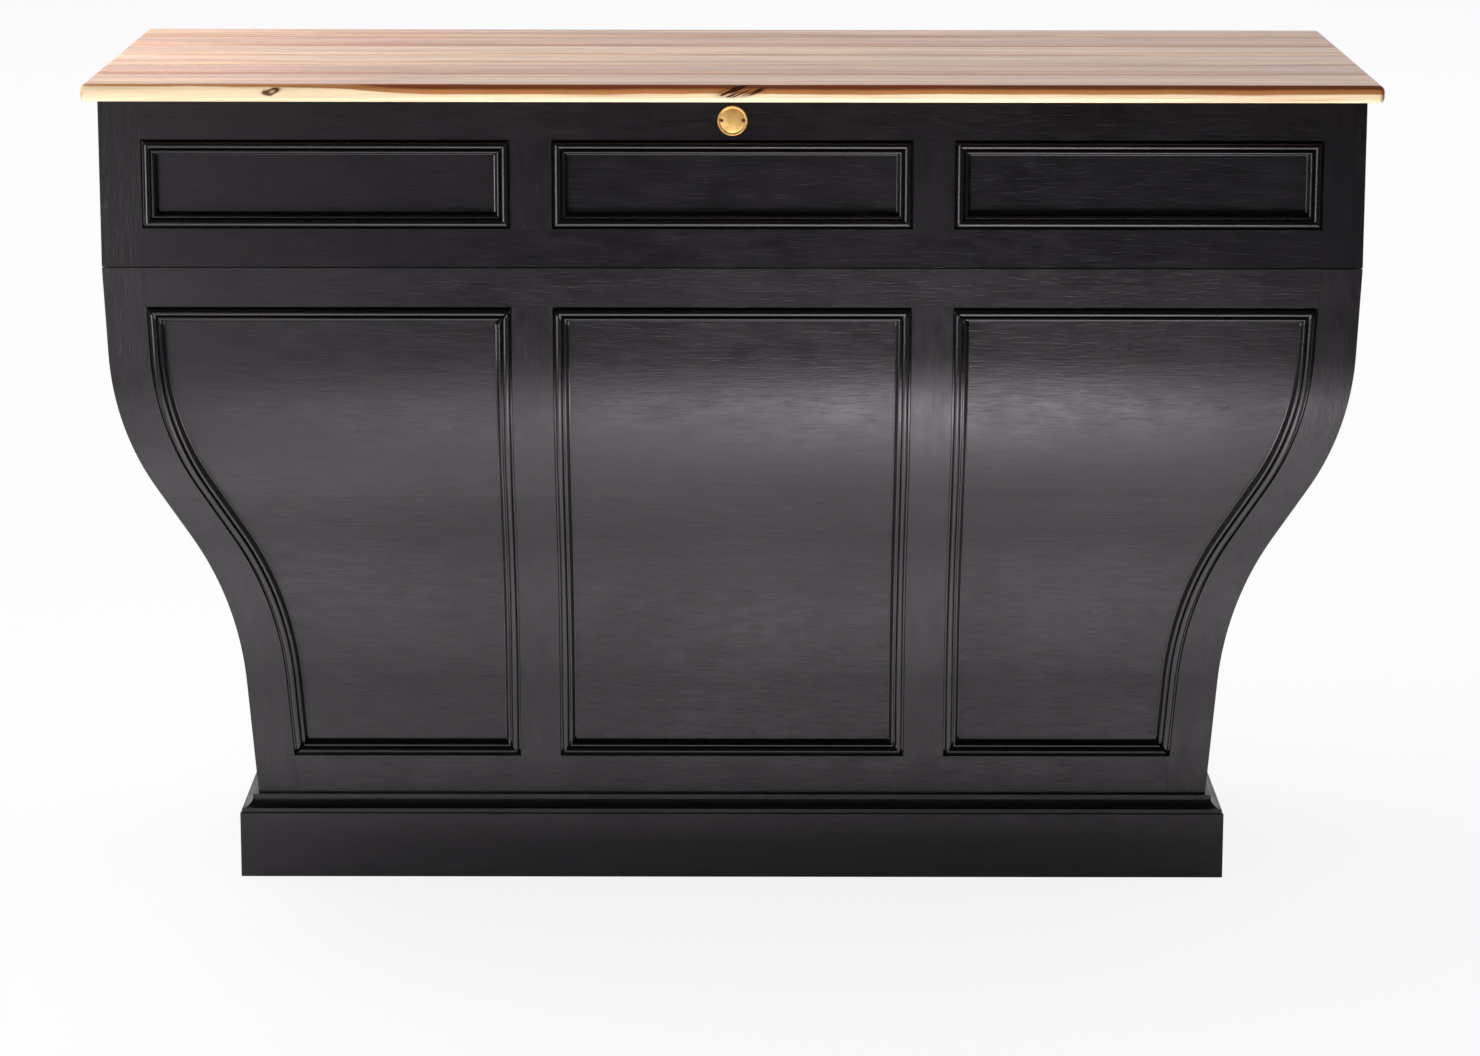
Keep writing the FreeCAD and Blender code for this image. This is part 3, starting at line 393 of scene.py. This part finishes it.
# %% [markdown]
# ## Drawer wood and brass
# The drawer boxes are plain pale wood that guests never see. The knobs and the disc are old brass: partly
# bare metal, partly a dull skin, in a colour that goes from bright to brown where it has tarnished, with
# fine scratches in the roughness. Pure metal would only mirror the dark room, so a share of plain colour
# stays. The nails are the same brass gone nearly black.

# %% Finish the drawers and the brass
PINE_PALE = (0.560, 0.370, 0.200, 1)
PINE_DARK = (0.370, 0.200, 0.090, 1)
PINE_FIGURE_RATE, PINE_FIGURE_SPAN = (22, 1.5, 40), (0.35, 0.68)
PINE_FIBRE_RATE, PINE_ROUGHNESS = (160, 6, 260), (0.52, 0.70)
PINE_RELIEF_SHARE, PINE_RELIEF = 0.15, 0.0008
BRASS_BRIGHT, BRASS_BROWN = (0.930, 0.570, 0.200, 1), (0.760, 0.440, 0.150, 1)
NAIL_BROWN, NAIL_DARK = (0.120, 0.065, 0.028, 1), (0.050, 0.026, 0.012, 1)
BRASS_BARE = 0.6
TARNISH_RATE, TARNISH_SPAN = 110, (0.42, 0.70)
SCRATCH_RATE, SCRATCH_SPAN, BRASS_ROUGHNESS = (900, 300, 120), (0.3, 0.7), (0.30, 0.46)
BRASS_RELIEF_SHARE, BRASS_RELIEF = 0.10, 0.0004


def drawer_wood():
    finish, tree, shader = start_finish("drawer_wood")
    place = here(tree)
    figure = noise(tree, stretched(tree, place, PINE_FIGURE_RATE), detail=6, roughness=0.6, distortion=0.8)
    fibre = noise(tree, stretched(tree, place, PINE_FIBRE_RATE), detail=3)
    colour = mixed(tree, ranged(tree, figure, *PINE_FIGURE_SPAN), PINE_PALE, PINE_DARK)
    feed(tree, shader.inputs["Base Color"], colour)
    feed(tree, shader.inputs["Roughness"], ranged(tree, fibre, *FIBRE_SPAN, *PINE_ROUGHNESS))
    feed(tree, shader.inputs["Normal"], raised(tree, fibre, PINE_RELIEF_SHARE, PINE_RELIEF))
    return finish


def old_brass(name, bright, brown):
    finish, tree, shader = start_finish(name)
    place = here(tree)
    tarnish = noise(tree, place, scale=TARNISH_RATE, detail=3, roughness=0.5)
    scratches = noise(tree, stretched(tree, place, SCRATCH_RATE), detail=3)
    feed(tree, shader.inputs["Base Color"], mixed(tree, ranged(tree, tarnish, *TARNISH_SPAN), bright, brown))
    feed(tree, shader.inputs["Roughness"], ranged(tree, scratches, *SCRATCH_SPAN, *BRASS_ROUGHNESS))
    shader.inputs["Metallic"].default_value = BRASS_BARE
    feed(tree, shader.inputs["Normal"], raised(tree, tarnish, BRASS_RELIEF_SHARE, BRASS_RELIEF))
    return finish


pine = drawer_wood()
brass = old_brass("old_brass", BRASS_BRIGHT, BRASS_BROWN)
nail_brass = old_brass("nail_brass", NAIL_BROWN, NAIL_DARK)
print("drawer wood, brass and the darker brass of the nails")

# %% [markdown]
# ## Finishes on the solids
# The record names a finish for every solid. Boards that stand upright, and the end boards, which run from
# front to back, get the paint with its grain turned their way.

# %% Give every solid its finish
UPRIGHT = ("stile", "muntin")
DEEP = ("frieze_end", "body_end", "plinth_left", "plinth_right")
SLOT_FINISH = {"plank_wood": varnish, "inside_paint": paint_inside, "drawer_wood": pine, "brass": brass}


def painted(name):
    coat = "frieze" if name.startswith("frieze") else "black"
    if any(word in name for word in UPRIGHT):
        return paints[coat, "upright"]
    if name.startswith(DEEP):
        return paints[coat, "deep"]
    return paints[coat, "level"]


for part in frame["record"]["subparts"]:
    solid = frame["nodes"][part["node"]]
    finish = SLOT_FINISH.get(part["material_slot"]) or painted(part["node"])
    if solid.material_slots:
        for material_slot in solid.material_slots:
            material_slot.material = finish
    else:
        solid.data.materials.append(finish)

# %% [markdown]
# ## The ogee
# The front and both ends of the body share one template: a short straight run, a bulge, a straight run
# that leans, a hollow and a straight foot. It could be a spline, but a joiner draws it with arcs and a
# rule, and those can be read exactly at any level. One function reads how far the face lies back at a
# level and how much it leans there. A second finds the recess of a layer some way behind the face.

# %% Draw the ogee
SEAM, FOOT = 0.824, 0.107
BODY_HEIGHT = SEAM - FOOT
CASE_SIDE, CASE_FRONT, CASE_BACK = 0.781, 0.313, 0.302
LEAN_TOP, LEAN_MID, LEAN_FOOT = (math.radians(angle) for angle in (2.4, 28.3, 4.3))
TOP_RUN, MID_RUN = 0.152 * BODY_HEIGHT, 0.1116 * BODY_HEIGHT
BULGE, HOLLOW = 0.5816 * BODY_HEIGHT, 0.7197 * BODY_HEIGHT
LAYER_ROUNDS = 3

bulge_recess = TOP_RUN * math.sin(LEAN_TOP) + BULGE * math.cos(LEAN_TOP)
bulge_level = SEAM - TOP_RUN * math.cos(LEAN_TOP) + BULGE * math.sin(LEAN_TOP)
hollow_recess = bulge_recess - (BULGE + HOLLOW) * math.cos(LEAN_MID) + MID_RUN * math.sin(LEAN_MID)
hollow_level = bulge_level - (BULGE + HOLLOW) * math.sin(LEAN_MID) - MID_RUN * math.cos(LEAN_MID)
bulge_top = bulge_level - BULGE * math.sin(LEAN_TOP)
bulge_end = bulge_level - BULGE * math.sin(LEAN_MID)
hollow_top = hollow_level + HOLLOW * math.sin(LEAN_MID)
hollow_end = hollow_level + HOLLOW * math.sin(LEAN_FOOT)


def ogee_at(level):
    """Return the recess and the lean of the face at a level."""
    if level >= bulge_top:
        return (SEAM - level) * math.tan(LEAN_TOP), LEAN_TOP
    if level >= bulge_end:
        lean = math.asin((bulge_level - level) / BULGE)
        return bulge_recess - BULGE * math.cos(lean), lean
    if level >= hollow_top:
        start = bulge_recess - BULGE * math.cos(LEAN_MID)
        return start + (bulge_end - level) * math.tan(LEAN_MID), LEAN_MID
    if level >= hollow_end:
        lean = math.asin((level - hollow_level) / HOLLOW)
        return hollow_recess + HOLLOW * math.cos(lean), lean
    start = hollow_recess + HOLLOW * math.cos(LEAN_FOOT)
    return start + (hollow_end - level) * math.tan(LEAN_FOOT), LEAN_FOOT


def behind(level, depth):
    """Return the recess of a layer a depth behind the face, at a level."""
    source = level
    for _ in range(LAYER_ROUNDS):
        source = level - depth * math.sin(ogee_at(source)[1])
    recess, lean = ogee_at(source)
    return recess + depth * math.cos(lean)


print("the body draws in by", round(ogee_at(FOOT)[0], 4), "m")

# %% [markdown]
# ## Mesh helpers
# A bent board and a moulding are both a section that is carried along a line, so one helper skins a list
# of sections and closes its ends. Another makes the object: it welds the mesh, shades it smooth, keeps
# real arrises sharp, hangs the piece on the body it rides on, and hides the solid it stands for.

# %% Helpers for pieces
ARRIS = math.radians(32)
WELD = 1e-6


def skin(sections):
    """Join closed sections of equal length and cap both ends."""
    size = len(sections[0])
    points = [point for section in sections for point in section]
    faces = []
    for step in range(len(sections) - 1):
        for index in range(size):
            after = (index + 1) % size
            faces.append((step * size + index, step * size + after,
                          (step + 1) * size + after, (step + 1) * size + index))
    faces.append(tuple(reversed(range(size))))
    faces.append(tuple(range((len(sections) - 1) * size, len(sections) * size)))
    return points, faces


def joined(parts):
    """Put several skins in one list of points and faces."""
    points, faces = [], []
    for more_points, more_faces in parts:
        start = len(points)
        points += more_points
        faces += [tuple(start + index for index in face) for face in more_faces]
    return points, faces


def piece(name, shape, finish, stands_for, body="counter"):
    mesh = bpy.data.meshes.new(name)
    mesh.from_pydata([tuple(point) for point in shape[0]], [], shape[1])
    work = bmesh.new()
    work.from_mesh(mesh)
    bmesh.ops.remove_doubles(work, verts=work.verts, dist=WELD)
    bmesh.ops.recalc_face_normals(work, faces=work.faces)
    for face in work.faces:
        face.smooth = True
    for edge in work.edges:
        edge.smooth = edge.calc_face_angle(0) < ARRIS
    work.to_mesh(mesh)
    work.free()
    mesh.materials.append(finish)
    made = bpy.data.objects.new(name, mesh)
    bpy.context.collection.objects.link(made)
    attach(made, body)
    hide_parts(stands_for)
    return made


def flipped(points):
    return [Vector((-point[0], point[1], point[2])) for point in points]


def steps(start, end, count):
    return [start + (end - start) * index / (count - 1) for index in range(count)]

# %% [markdown]
# ## Bent boards
# The stiles, muntins and panels of the body are bent to the ogee. A modifier could bend flat boards, but
# here each board is cut at eighty levels, and each level gives a four-cornered section, which keeps every
# edge where the template puts it. The stiles meet the ends in a mitre, so their outer edges draw in with
# the depth.

# %% Bend the boards of the body
BOARD_LEVELS = 80
FRAME = 0.022
STILE, MUNTIN = 0.0515, 0.051
TOP_RAIL, FOOT_RAIL = 0.049, 0.051
CENTRE_SHARE = 0.329
PANEL_NEAR, PANEL_FAR, PANEL_LAP = 0.0092, 0.019, 0.008
MIDDLE_EDGE = (2 * CASE_SIDE - 2 * STILE - 2 * MUNTIN) * CENTRE_SHARE / 2
OUTER_EDGE = MIDDLE_EDGE + MUNTIN
OPENING_TOP, OPENING_FOOT = SEAM - TOP_RAIL, FOOT + FOOT_RAIL
PANEL_ENDS = (OPENING_TOP + PANEL_LAP, OPENING_FOOT - PANEL_LAP)


def bent_board(near, far, top, foot, left, right):
    """Cut a bent board; left and right give an edge from the level and the depth behind the face."""
    sections = []
    for level in steps(top, foot, BOARD_LEVELS):
        front, back = (behind(level, depth) - CASE_FRONT for depth in (near, far))
        sections.append([Vector((left(level, near), front, level)),
                         Vector((right(level, near), front, level)),
                         Vector((right(level, far), back, level)),
                         Vector((left(level, far), back, level))])
    return skin(sections)


def both_sides(name, shape, finish):
    piece(f"{name}_left_bent", shape, finish, f"{name}_left")
    piece(f"{name}_right_bent", (flipped(shape[0]), shape[1]), finish, f"{name}_right")


def mitred(level, depth):
    return behind(level, depth) - CASE_SIDE


def beside_stile(margin):
    return lambda level, depth: ogee_at(level)[0] + STILE - margin - CASE_SIDE


def upright_at(place):
    return lambda level, depth: place


stile = bent_board(0, FRAME, SEAM, FOOT, mitred, beside_stile(0))
muntin = bent_board(0, FRAME, OPENING_TOP, OPENING_FOOT, upright_at(-OUTER_EDGE), upright_at(-MIDDLE_EDGE))
outer_panel = bent_board(PANEL_NEAR, PANEL_FAR, *PANEL_ENDS, beside_stile(PANEL_LAP),
                         upright_at(PANEL_LAP - OUTER_EDGE))
middle_panel = bent_board(PANEL_NEAR, PANEL_FAR, *PANEL_ENDS, upright_at(-MIDDLE_EDGE - PANEL_LAP),
                          upright_at(MIDDLE_EDGE + PANEL_LAP))
both_sides("body_stile", stile, paints["black", "upright"])
both_sides("body_muntin", muntin, paints["black", "upright"])
both_sides("body_panel", outer_panel, paints["black", "level"])
piece("body_panel_centre_bent", middle_panel, paints["black", "level"], "body_panel_centre")
print("bent boards of the front, each cut at", BOARD_LEVELS, "levels")

# %% [markdown]
# ## Bent ends
# The end boards carry the same ogee round the corner, and their front edges are mitred to the stiles. They
# are cut at the same levels as the stiles, so both sides of the mitre have the same points and no gap can
# open.

# %% Bend the ends of the body
end_sections = []
for level in steps(SEAM, FOOT, BOARD_LEVELS):
    outer, inner = behind(level, 0), behind(level, FRAME)
    end_sections.append([Vector((outer - CASE_SIDE, outer - CASE_FRONT, level)),
                         Vector((inner - CASE_SIDE, inner - CASE_FRONT, level)),
                         Vector((inner - CASE_SIDE, CASE_BACK, level)),
                         Vector((outer - CASE_SIDE, CASE_BACK, level))])
both_sides("body_end", skin(end_sections), paints["black", "deep"])
print("bent ends of", len(end_sections), "sections each")

# %% [markdown]
# ## Mouldings
# A moulding frames every panel: from the frame inwards it has a quirk, a round bead, a second quirk, a
# narrow fillet with a soft crown, and a slope down to the panel. The section is a list of points, each
# with its inset from the frame and its height over the frame's face. A bevelled curve could carry it, but
# would twist it on a double bend.

# %% Draw the moulding's section
MOULDING_SEAT, QUIRK_FLOOR = -0.0088, -0.0040
BEAD_START, BEAD_WIDTH, BEAD_RISE, BEAD_TURN = 0.0030, 0.0084, 0.0003, math.radians(82)
BEAD_STEPS = 12
BEAD_RADIUS = BEAD_WIDTH / (2 * math.sin(BEAD_TURN))
FIRST_QUIRK = [(0.0005, MOULDING_SEAT), (0.0005, -0.0004), (0.0009, QUIRK_FLOOR), (0.0028, QUIRK_FLOOR)]
SECOND_QUIRK = [(0.0116, QUIRK_FLOOR), (0.0133, QUIRK_FLOOR)]
FILLET = [(0.0136, 0.0008), (0.0139, 0.0012), (0.0150, 0.0013), (0.0160, 0.0009), (0.0167, 0.0001)]
SLOPE = [(0.0172, -0.0012), (0.0188, -0.0076), (0.0193, -0.0084), (0.0205, MOULDING_SEAT)]

bead_middle = BEAD_START + BEAD_WIDTH / 2
bead_centre = BEAD_RISE - BEAD_RADIUS * math.cos(BEAD_TURN)
bead = [(bead_middle + BEAD_RADIUS * math.sin(turn), bead_centre + BEAD_RADIUS * math.cos(turn))
        for turn in steps(-BEAD_TURN, BEAD_TURN, BEAD_STEPS)]
moulding = FIRST_QUIRK + bead + SECOND_QUIRK + FILLET + SLOPE
proud = max(up for _, up in moulding)
print("section of", len(moulding), "points,", round(proud * 1000, 2), "mm proud of the frame")

# %% [markdown]
# ## Mitred strips
# Four strips frame a panel. Each point of the section gets its own line on the face, from mitre to mitre,
# so the strips meet exactly. Beside the end stiles a strip follows the ogees of front and end at once, so
# its section is turned at each level to stay square to the face and to the run.

# %% Carry the moulding round a panel
STRIP_LEVELS, HIP_ROUNDS = 90, 4


def on_face(across, level, up):
    recess, lean = ogee_at(level) if level < SEAM else (0, 0)
    return Vector((across, recess - CASE_FRONT - up * math.cos(lean), level - up * math.sin(lean)))


def straight_edge(place, way):
    """Return a function that puts a point of the section beside an upright edge."""
    return lambda inset, up, level: on_face(place + way * inset, level, up)


def hip_edge(inset, up, level):
    """Put a point of the section beside the left stile, at a level of the front view."""
    source = level
    for _ in range(HIP_ROUNDS):
        recess, lean = ogee_at(source)
        outward = Vector((0, -math.cos(lean), -math.sin(lean)))
        run = Vector((math.sin(lean), math.sin(lean), -math.cos(lean))).normalized()
        inward = outward.cross(run).normalized()
        source = level - inset * inward.z
    corner = Vector((recess + STILE - CASE_SIDE, recess - CASE_FRONT, source))
    return corner + inset * inward + up * outward


def moulding_frame(left, right, top, foot):
    """Make the four mitred strips; left and right put a point of the section beside those edges."""
    def upright(edge):
        sections = []
        for share in steps(0, 1, STRIP_LEVELS):
            sections.append([edge(inset, up, top - inset + (foot - top + 2 * inset) * share)
                             for inset, up in moulding])
        return skin(sections)

    def level_strip(level, way):
        ends = [[edge(inset, up, level + way * inset) for inset, up in moulding] for edge in (left, right)]
        return skin(ends)

    return joined([upright(left), upright(right), level_strip(top, -1), level_strip(foot, 1)])

# %% [markdown]
# ## Six frames
# The frieze has three flat frames and the body three bent ones. The frames on the right are the left ones
# mirrored, because the counter is alike on both sides. The grain of the paint runs level in the frames of
# the frieze and upright in those of the body.

# %% Frame the panels
FRIEZE_TOP = 1.032
FRIEZE_TOP_RAIL, FRIEZE_FOOT_RAIL = 0.048, 0.049
FRIEZE_OPENING = (FRIEZE_TOP - FRIEZE_TOP_RAIL, SEAM + FRIEZE_FOOT_RAIL)
BODY_OPENING = (OPENING_TOP, OPENING_FOOT)
outer_left = straight_edge(STILE - CASE_SIDE, 1)
outer_right = straight_edge(-OUTER_EDGE, -1)
middle = (straight_edge(-MIDDLE_EDGE, 1), straight_edge(MIDDLE_EDGE, -1))

frieze_coat, body_coat = paints["moulding", "level"], paints["moulding", "upright"]
both_sides("frieze_moulding", moulding_frame(outer_left, outer_right, *FRIEZE_OPENING), frieze_coat)
piece("frieze_moulding_centre_run", moulding_frame(*middle, *FRIEZE_OPENING), frieze_coat,
      "frieze_moulding_centre")
both_sides("body_moulding", moulding_frame(hip_edge, outer_right, *BODY_OPENING), body_coat)
piece("body_moulding_centre_run", moulding_frame(*middle, *BODY_OPENING), body_coat,
      "body_moulding_centre")
print("moulding frames, with", STRIP_LEVELS, "levels in an upright strip")

# %% [markdown]
# ## Plank top
# The top is one slab in outline, with rounded corners and rounded arrises, the upper a little fuller. A
# box with a bevel would do, but a stack of rounded outlines gives each arris a round of its own.

# %% Shape the slab
CORNER_ROUND, UPPER_ROUND, LOWER_ROUND = 0.007, 0.008, 0.007
LEAST_ROUND = 0.0005
ROUND_STEPS = 7
QUARTER = math.pi / 2


def slab_outline(inset, level):
    points = []
    radius = max(CORNER_ROUND - inset, LEAST_ROUND)
    for corner, (way_x, way_y) in enumerate(((1, 1), (-1, 1), (-1, -1), (1, -1))):
        for turn in steps(corner * QUARTER, (corner + 1) * QUARTER, ROUND_STEPS):
            points.append(Vector((way_x * (TOP_HIGH[0] - inset - radius) + radius * math.cos(turn),
                                  way_y * (TOP_HIGH[1] - inset - radius) + radius * math.sin(turn), level)))
    return points


slab = []
for turn in steps(0, QUARTER, ROUND_STEPS):
    slab.append(slab_outline(LOWER_ROUND * (1 - math.sin(turn)),
                             TOP_LOW[2] + LOWER_ROUND * (1 - math.cos(turn))))
for turn in steps(0, QUARTER, ROUND_STEPS):
    slab.append(slab_outline(UPPER_ROUND * (1 - math.cos(turn)),
                             TOP_HIGH[2] - UPPER_ROUND * (1 - math.sin(turn))))
top = piece("plank_top", skin(slab), varnish, "counter_top")
print("slab of", len(slab), "outlines")

# %% [markdown]
# ## Joints of the planks
# The planks are glued edge to edge, and each joint shows as a fine line. It could be drawn in the finish
# alone, but a groove changes with the light, so the slab is sliced along each joint and the line is
# pressed in.

# %% Press in the joints of the planks
GROOVE_HALF, GROOVE_DEPTH = 0.0007, 0.00025
SLICE = 1e-7

work = bmesh.new()
work.from_mesh(top.data)
for joint in range(1, PLANKS):
    seat = TOP_LOW[1] + joint * PLANK_WIDTH
    for place in (seat - GROOVE_HALF, seat, seat + GROOVE_HALF):
        bmesh.ops.bisect_plane(work, geom=list(work.verts) + list(work.edges) + list(work.faces),
                               plane_co=(0, place, 0), plane_no=(0, 1, 0), dist=SLICE)
    for point in work.verts:
        if abs(point.co.y - seat) < WELD and point.co.z > TOP_HIGH[2] - WELD:
            point.co.z -= GROOVE_DEPTH
for edge in work.edges:
    edge.smooth = edge.calc_face_angle(0) < ARRIS
work.to_mesh(top.data)
work.free()

# %% [markdown]
# ## Turned brass
# Knobs, disc and nails are turned on a lathe, so each is a short profile spun about an axis that points
# along the depth of the counter. A screw modifier spins a profile too, but the skin of sections is already
# at hand. The disc has a plain face inside a raised rim, and two nail heads sit on it.

# %% Turn the knobs, the disc and the nails
LATHE_STEPS = 48
KNOB = [(0.0070, 0), (0.0068, 0.002), (0.0058, 0.006), (0.0062, 0.009), (0.0095, 0.0108), (0.0130, 0.0128),
        (0.0147, 0.0158), (0.0149, 0.0190), (0.0140, 0.0222), (0.0118, 0.0248), (0.0080, 0.0264),
        (0.0040, 0.0269), (0.0004, 0.0270)]
DISC_FACE = -0.0009
DISC = [(0.0185, 0), (0.0185, -0.0016), (0.0182, -0.0021), (0.0175, -0.0023), (0.0167, -0.0021),
        (0.0163, -0.0015), (0.0161, -0.0007), (0.0155, -0.0005), (0.0147, DISC_FACE), (0, DISC_FACE)]
NAIL_SHARES = [(1.0, 0), (1.0, -0.25), (0.75, -0.55), (0.35, -0.70), (0, -0.74)]


def turned(profile, centre):
    """Spin (radius, place along Y) points about an axis along Y."""
    turns = steps(0, 2 * math.pi * (1 - 1 / LATHE_STEPS), LATHE_STEPS)
    sections = []
    for radius, along in profile:
        sections.append([Vector((centre[0] + radius * math.cos(turn), centre[1] + along,
                                 centre[2] + radius * math.sin(turn))) for turn in turns])
    return skin(sections)


def middle_of(name):
    low, high = (Vector(corner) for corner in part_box(name))
    return (low + high) / 2, low, high


for side in ("left", "centre", "right"):
    centre, low, _ = middle_of(f"drawer_{side}_knob")
    piece(f"knob_{side}", turned(KNOB, (centre.x, low.y, centre.z)), brass, f"drawer_{side}_knob",
          body=f"drawer_{side}")

centre, _, high = middle_of("brass_disc")
piece("disc_turned", turned(DISC, (centre.x, high.y, centre.z)), brass, "brass_disc")

_, nail_low, nail_high = middle_of("disc_nails")
nail_radius = (nail_high.z - nail_low.z) / 2
nail_head = [(nail_radius * radius, DISC_FACE + nail_radius * along) for radius, along in NAIL_SHARES]
nail_places = (nail_low.x + nail_radius, nail_high.x - nail_radius)
nails = [turned(nail_head, (place, high.y, centre.z)) for place in nail_places]
piece("nails_turned", joined(nails), nail_brass, "disc_nails")
print("turned pieces on a lathe of", LATHE_STEPS, "steps")

# %% [markdown]
# ## Floor
# The counter stands on a wide sheet of pale paper that ends a little way in front of it. More light would
# turn the paper white, but would wash out the paint as well, so plain white is mixed in where the camera
# looks, and the soft shadow of the counter still shows.

# %% Lay the floor
FLOOR_SIDE, FLOOR_FRONT, FLOOR_BACK = 22, -1.3, 22
FLOOR_COLOURS = ((0.93, 0.93, 0.93, 1), (0.95, 0.95, 0.95, 1))
FLOOR_WHITE, FLOOR_SHINE = 0.85, 0.08
PAPER_RATE, PAPER_ROUGHNESS = 40, 0.9
WHITE = (1, 1, 1, 1)


def reflected_rays(rays):
    return rays["Is Glossy Ray"], rays["Is Transmission Ray"]


floor_mesh = bpy.data.meshes.new("floor")
floor_mesh.from_pydata([(-FLOOR_SIDE, FLOOR_FRONT, 0), (FLOOR_SIDE, FLOOR_FRONT, 0),
                        (FLOOR_SIDE, FLOOR_BACK, 0), (-FLOOR_SIDE, FLOOR_BACK, 0)], [], [(0, 1, 2, 3)])
floor = bpy.data.objects.new("floor", floor_mesh)
bpy.context.collection.objects.link(floor)
floor_finish, tree, shader = start_finish("floor_paper")
paper = noise(tree, here(tree), scale=PAPER_RATE, detail=3)
feed(tree, shader.inputs["Base Color"], mixed(tree, paper, *FLOOR_COLOURS))
shader.inputs["Roughness"].default_value = PAPER_ROUGHNESS
shader.inputs["Specular IOR Level"].default_value = 0.0

rays = put(tree, "ShaderNodeLightPath").outputs
in_reflections = sums(tree, "MULTIPLY", sums(tree, "MAXIMUM", *reflected_rays(rays)), FLOOR_SHINE)
seen = sums(tree, "MAXIMUM", rays["Is Camera Ray"], in_reflections)
white = put(tree, "ShaderNodeEmission", Color=WHITE, Strength=1.0)
paler = put(tree, "ShaderNodeMixShader")
feed(tree, paler.inputs[0], sums(tree, "MULTIPLY", seen, FLOOR_WHITE))
feed(tree, paler.inputs[1], shader.outputs[0])
feed(tree, paler.inputs[2], white.outputs[0])
feed(tree, tree.nodes["Material Output"].inputs["Surface"], paler.outputs[0])
floor_mesh.materials.append(floor_finish)
print("floor from", FLOOR_FRONT, "to", FLOOR_BACK, "m")

# %% [markdown]
# ## Sky
# Beyond the paper the room is dark, which is why the upright frieze looks nearly black, while the bulge of
# the body, which leans down towards the paper and its lamps, looks grey. The sky is white for the camera.
# In reflections it is white behind the counter, and dark in front and overhead. A picture of a room could
# be wrapped around the scene, but a few ranges of direction are enough.

# %% Light the sky
SKY_FILL = 0.30
ROOM_DARK, CEILING_DARK = 0.03, 0.10
BACKDROP_TURN, CEILING_TURN = (-0.25, 0.35), (0.35, 0.70)

sky = bpy.data.worlds.new("sky")
sky.use_nodes = True
bpy.context.scene.world = sky
tree = sky.node_tree
towards = put(tree, "ShaderNodeTexCoord").outputs["Generated"]
_, towards_back, towards_top = put(tree, "ShaderNodeSeparateXYZ", Vector=towards).outputs
backdrop = ranged(tree, towards_back, *BACKDROP_TURN, ROOM_DARK, 1.0)
ceiling = ranged(tree, towards_top, *CEILING_TURN, 1.0, CEILING_DARK)
reflected = sums(tree, "MULTIPLY", backdrop, ceiling)
rays = put(tree, "ShaderNodeLightPath").outputs
in_reflections = sums(tree, "MAXIMUM", *reflected_rays(rays))
strength = ranged(tree, in_reflections, 0, 1, SKY_FILL, reflected, smooth=False)
strength = ranged(tree, rays["Is Camera Ray"], 0, 1, strength, 1.0, smooth=False)
feed(tree, tree.nodes["Background"].inputs["Strength"], strength)
tree.nodes["Background"].inputs["Color"].default_value = WHITE
print("sky of", SKY_FILL, "on the boards and", ROOM_DARK, "to 1 in reflections")

# %% [markdown]
# ## Lamps
# Satin paint mirrors what stands around it, so most lamps are placed by what the ogee sends to the camera.
# One very large lamp overhead lights the paper and the top almost evenly, and a small one over the left
# end makes that end of the planks paler. Both only light surfaces and never show in a reflection. Two low
# screens on the left draw the slow fall from left to right on the frieze and the plinth. Seven flat lamps
# lie on the paper before the counter and face up: the hollow sends back the near ones, the bulge the far
# ones, and together they make the broad grey band. A pale window behind, on the left, lies as a sheen on
# the planks.

# %% Hang the lamps
UPWARDS = None
# Each lamp: place, aim, width and height, radiance, spread in degrees.
LAMPS = {
    "overhead": ((0, 5.5, 6.0), (0, 5.5, 0), (15, 16), 0.98, 180),
    "top left": ((-1.15, 0.1, 1.75), (-0.75, 0, 1.05), (0.5, 0.5), 13.5, 180),
    "low screen": ((-1.7, -3.8, 0.35), (-0.6, -0.3, 0.6), (1.2, 0.7), 4.8, 180),
    "side screen": ((-2.0, -1.9, 0.45), (-0.7, -0.3, 0.4), (0.9, 0.8), 11.7, 180),
    "rim": ((0.0, -0.44, 0.02), UPWARDS, (2.6, 0.2), 1.35, 168),
    "near left": ((-0.62, -0.62, 0.02), UPWARDS, (1.5, 0.36), 1.08, 160),
    "near right": ((0.62, -0.62, 0.02), UPWARDS, (1.5, 0.36), 1.38, 160),
    "band": ((0.02, -0.95, 0.03), UPWARDS, (1.6, 0.45), 1.8, 150),
    "glow": ((0.33, -0.97, 0.03), UPWARDS, (0.9, 0.45), 2.5, 150),
    "far left": ((-0.33, -1.3, 0.02), UPWARDS, (1.4, 0.6), 2.6, 150),
    "far right": ((0.42, -1.3, 0.02), UPWARDS, (1.1, 0.6), 8.2, 150),
    "window": ((-1.8, 6.0, 1.8), (-0.6, 0, 1.05), (1.7, 1.3), 0.25, 180),
}
DULL_LAMPS = ("overhead", "top left")

for name, (place, aim, (wide, high), radiance, spread) in LAMPS.items():
    light = bpy.data.lights.new(name, "AREA")
    light.shape = "ELLIPSE"
    light.size, light.size_y = wide, high
    ellipse = math.pi * wide * high / 4
    light.energy = radiance * math.pi * ellipse
    light.spread = math.radians(spread)
    lamp = bpy.data.objects.new(name, light)
    lamp.location = place
    towards = Vector((0, 0, 1)) if aim is UPWARDS else Vector(aim) - Vector(place)
    lamp.rotation_euler = towards.to_track_quat("-Z", "Y").to_euler()
    lamp.visible_camera = False
    lamp.visible_glossy = name not in DULL_LAMPS
    bpy.context.collection.objects.link(lamp)
bpy.context.scene.view_settings.view_transform = "Standard"
print("lamps", sorted(LAMPS))
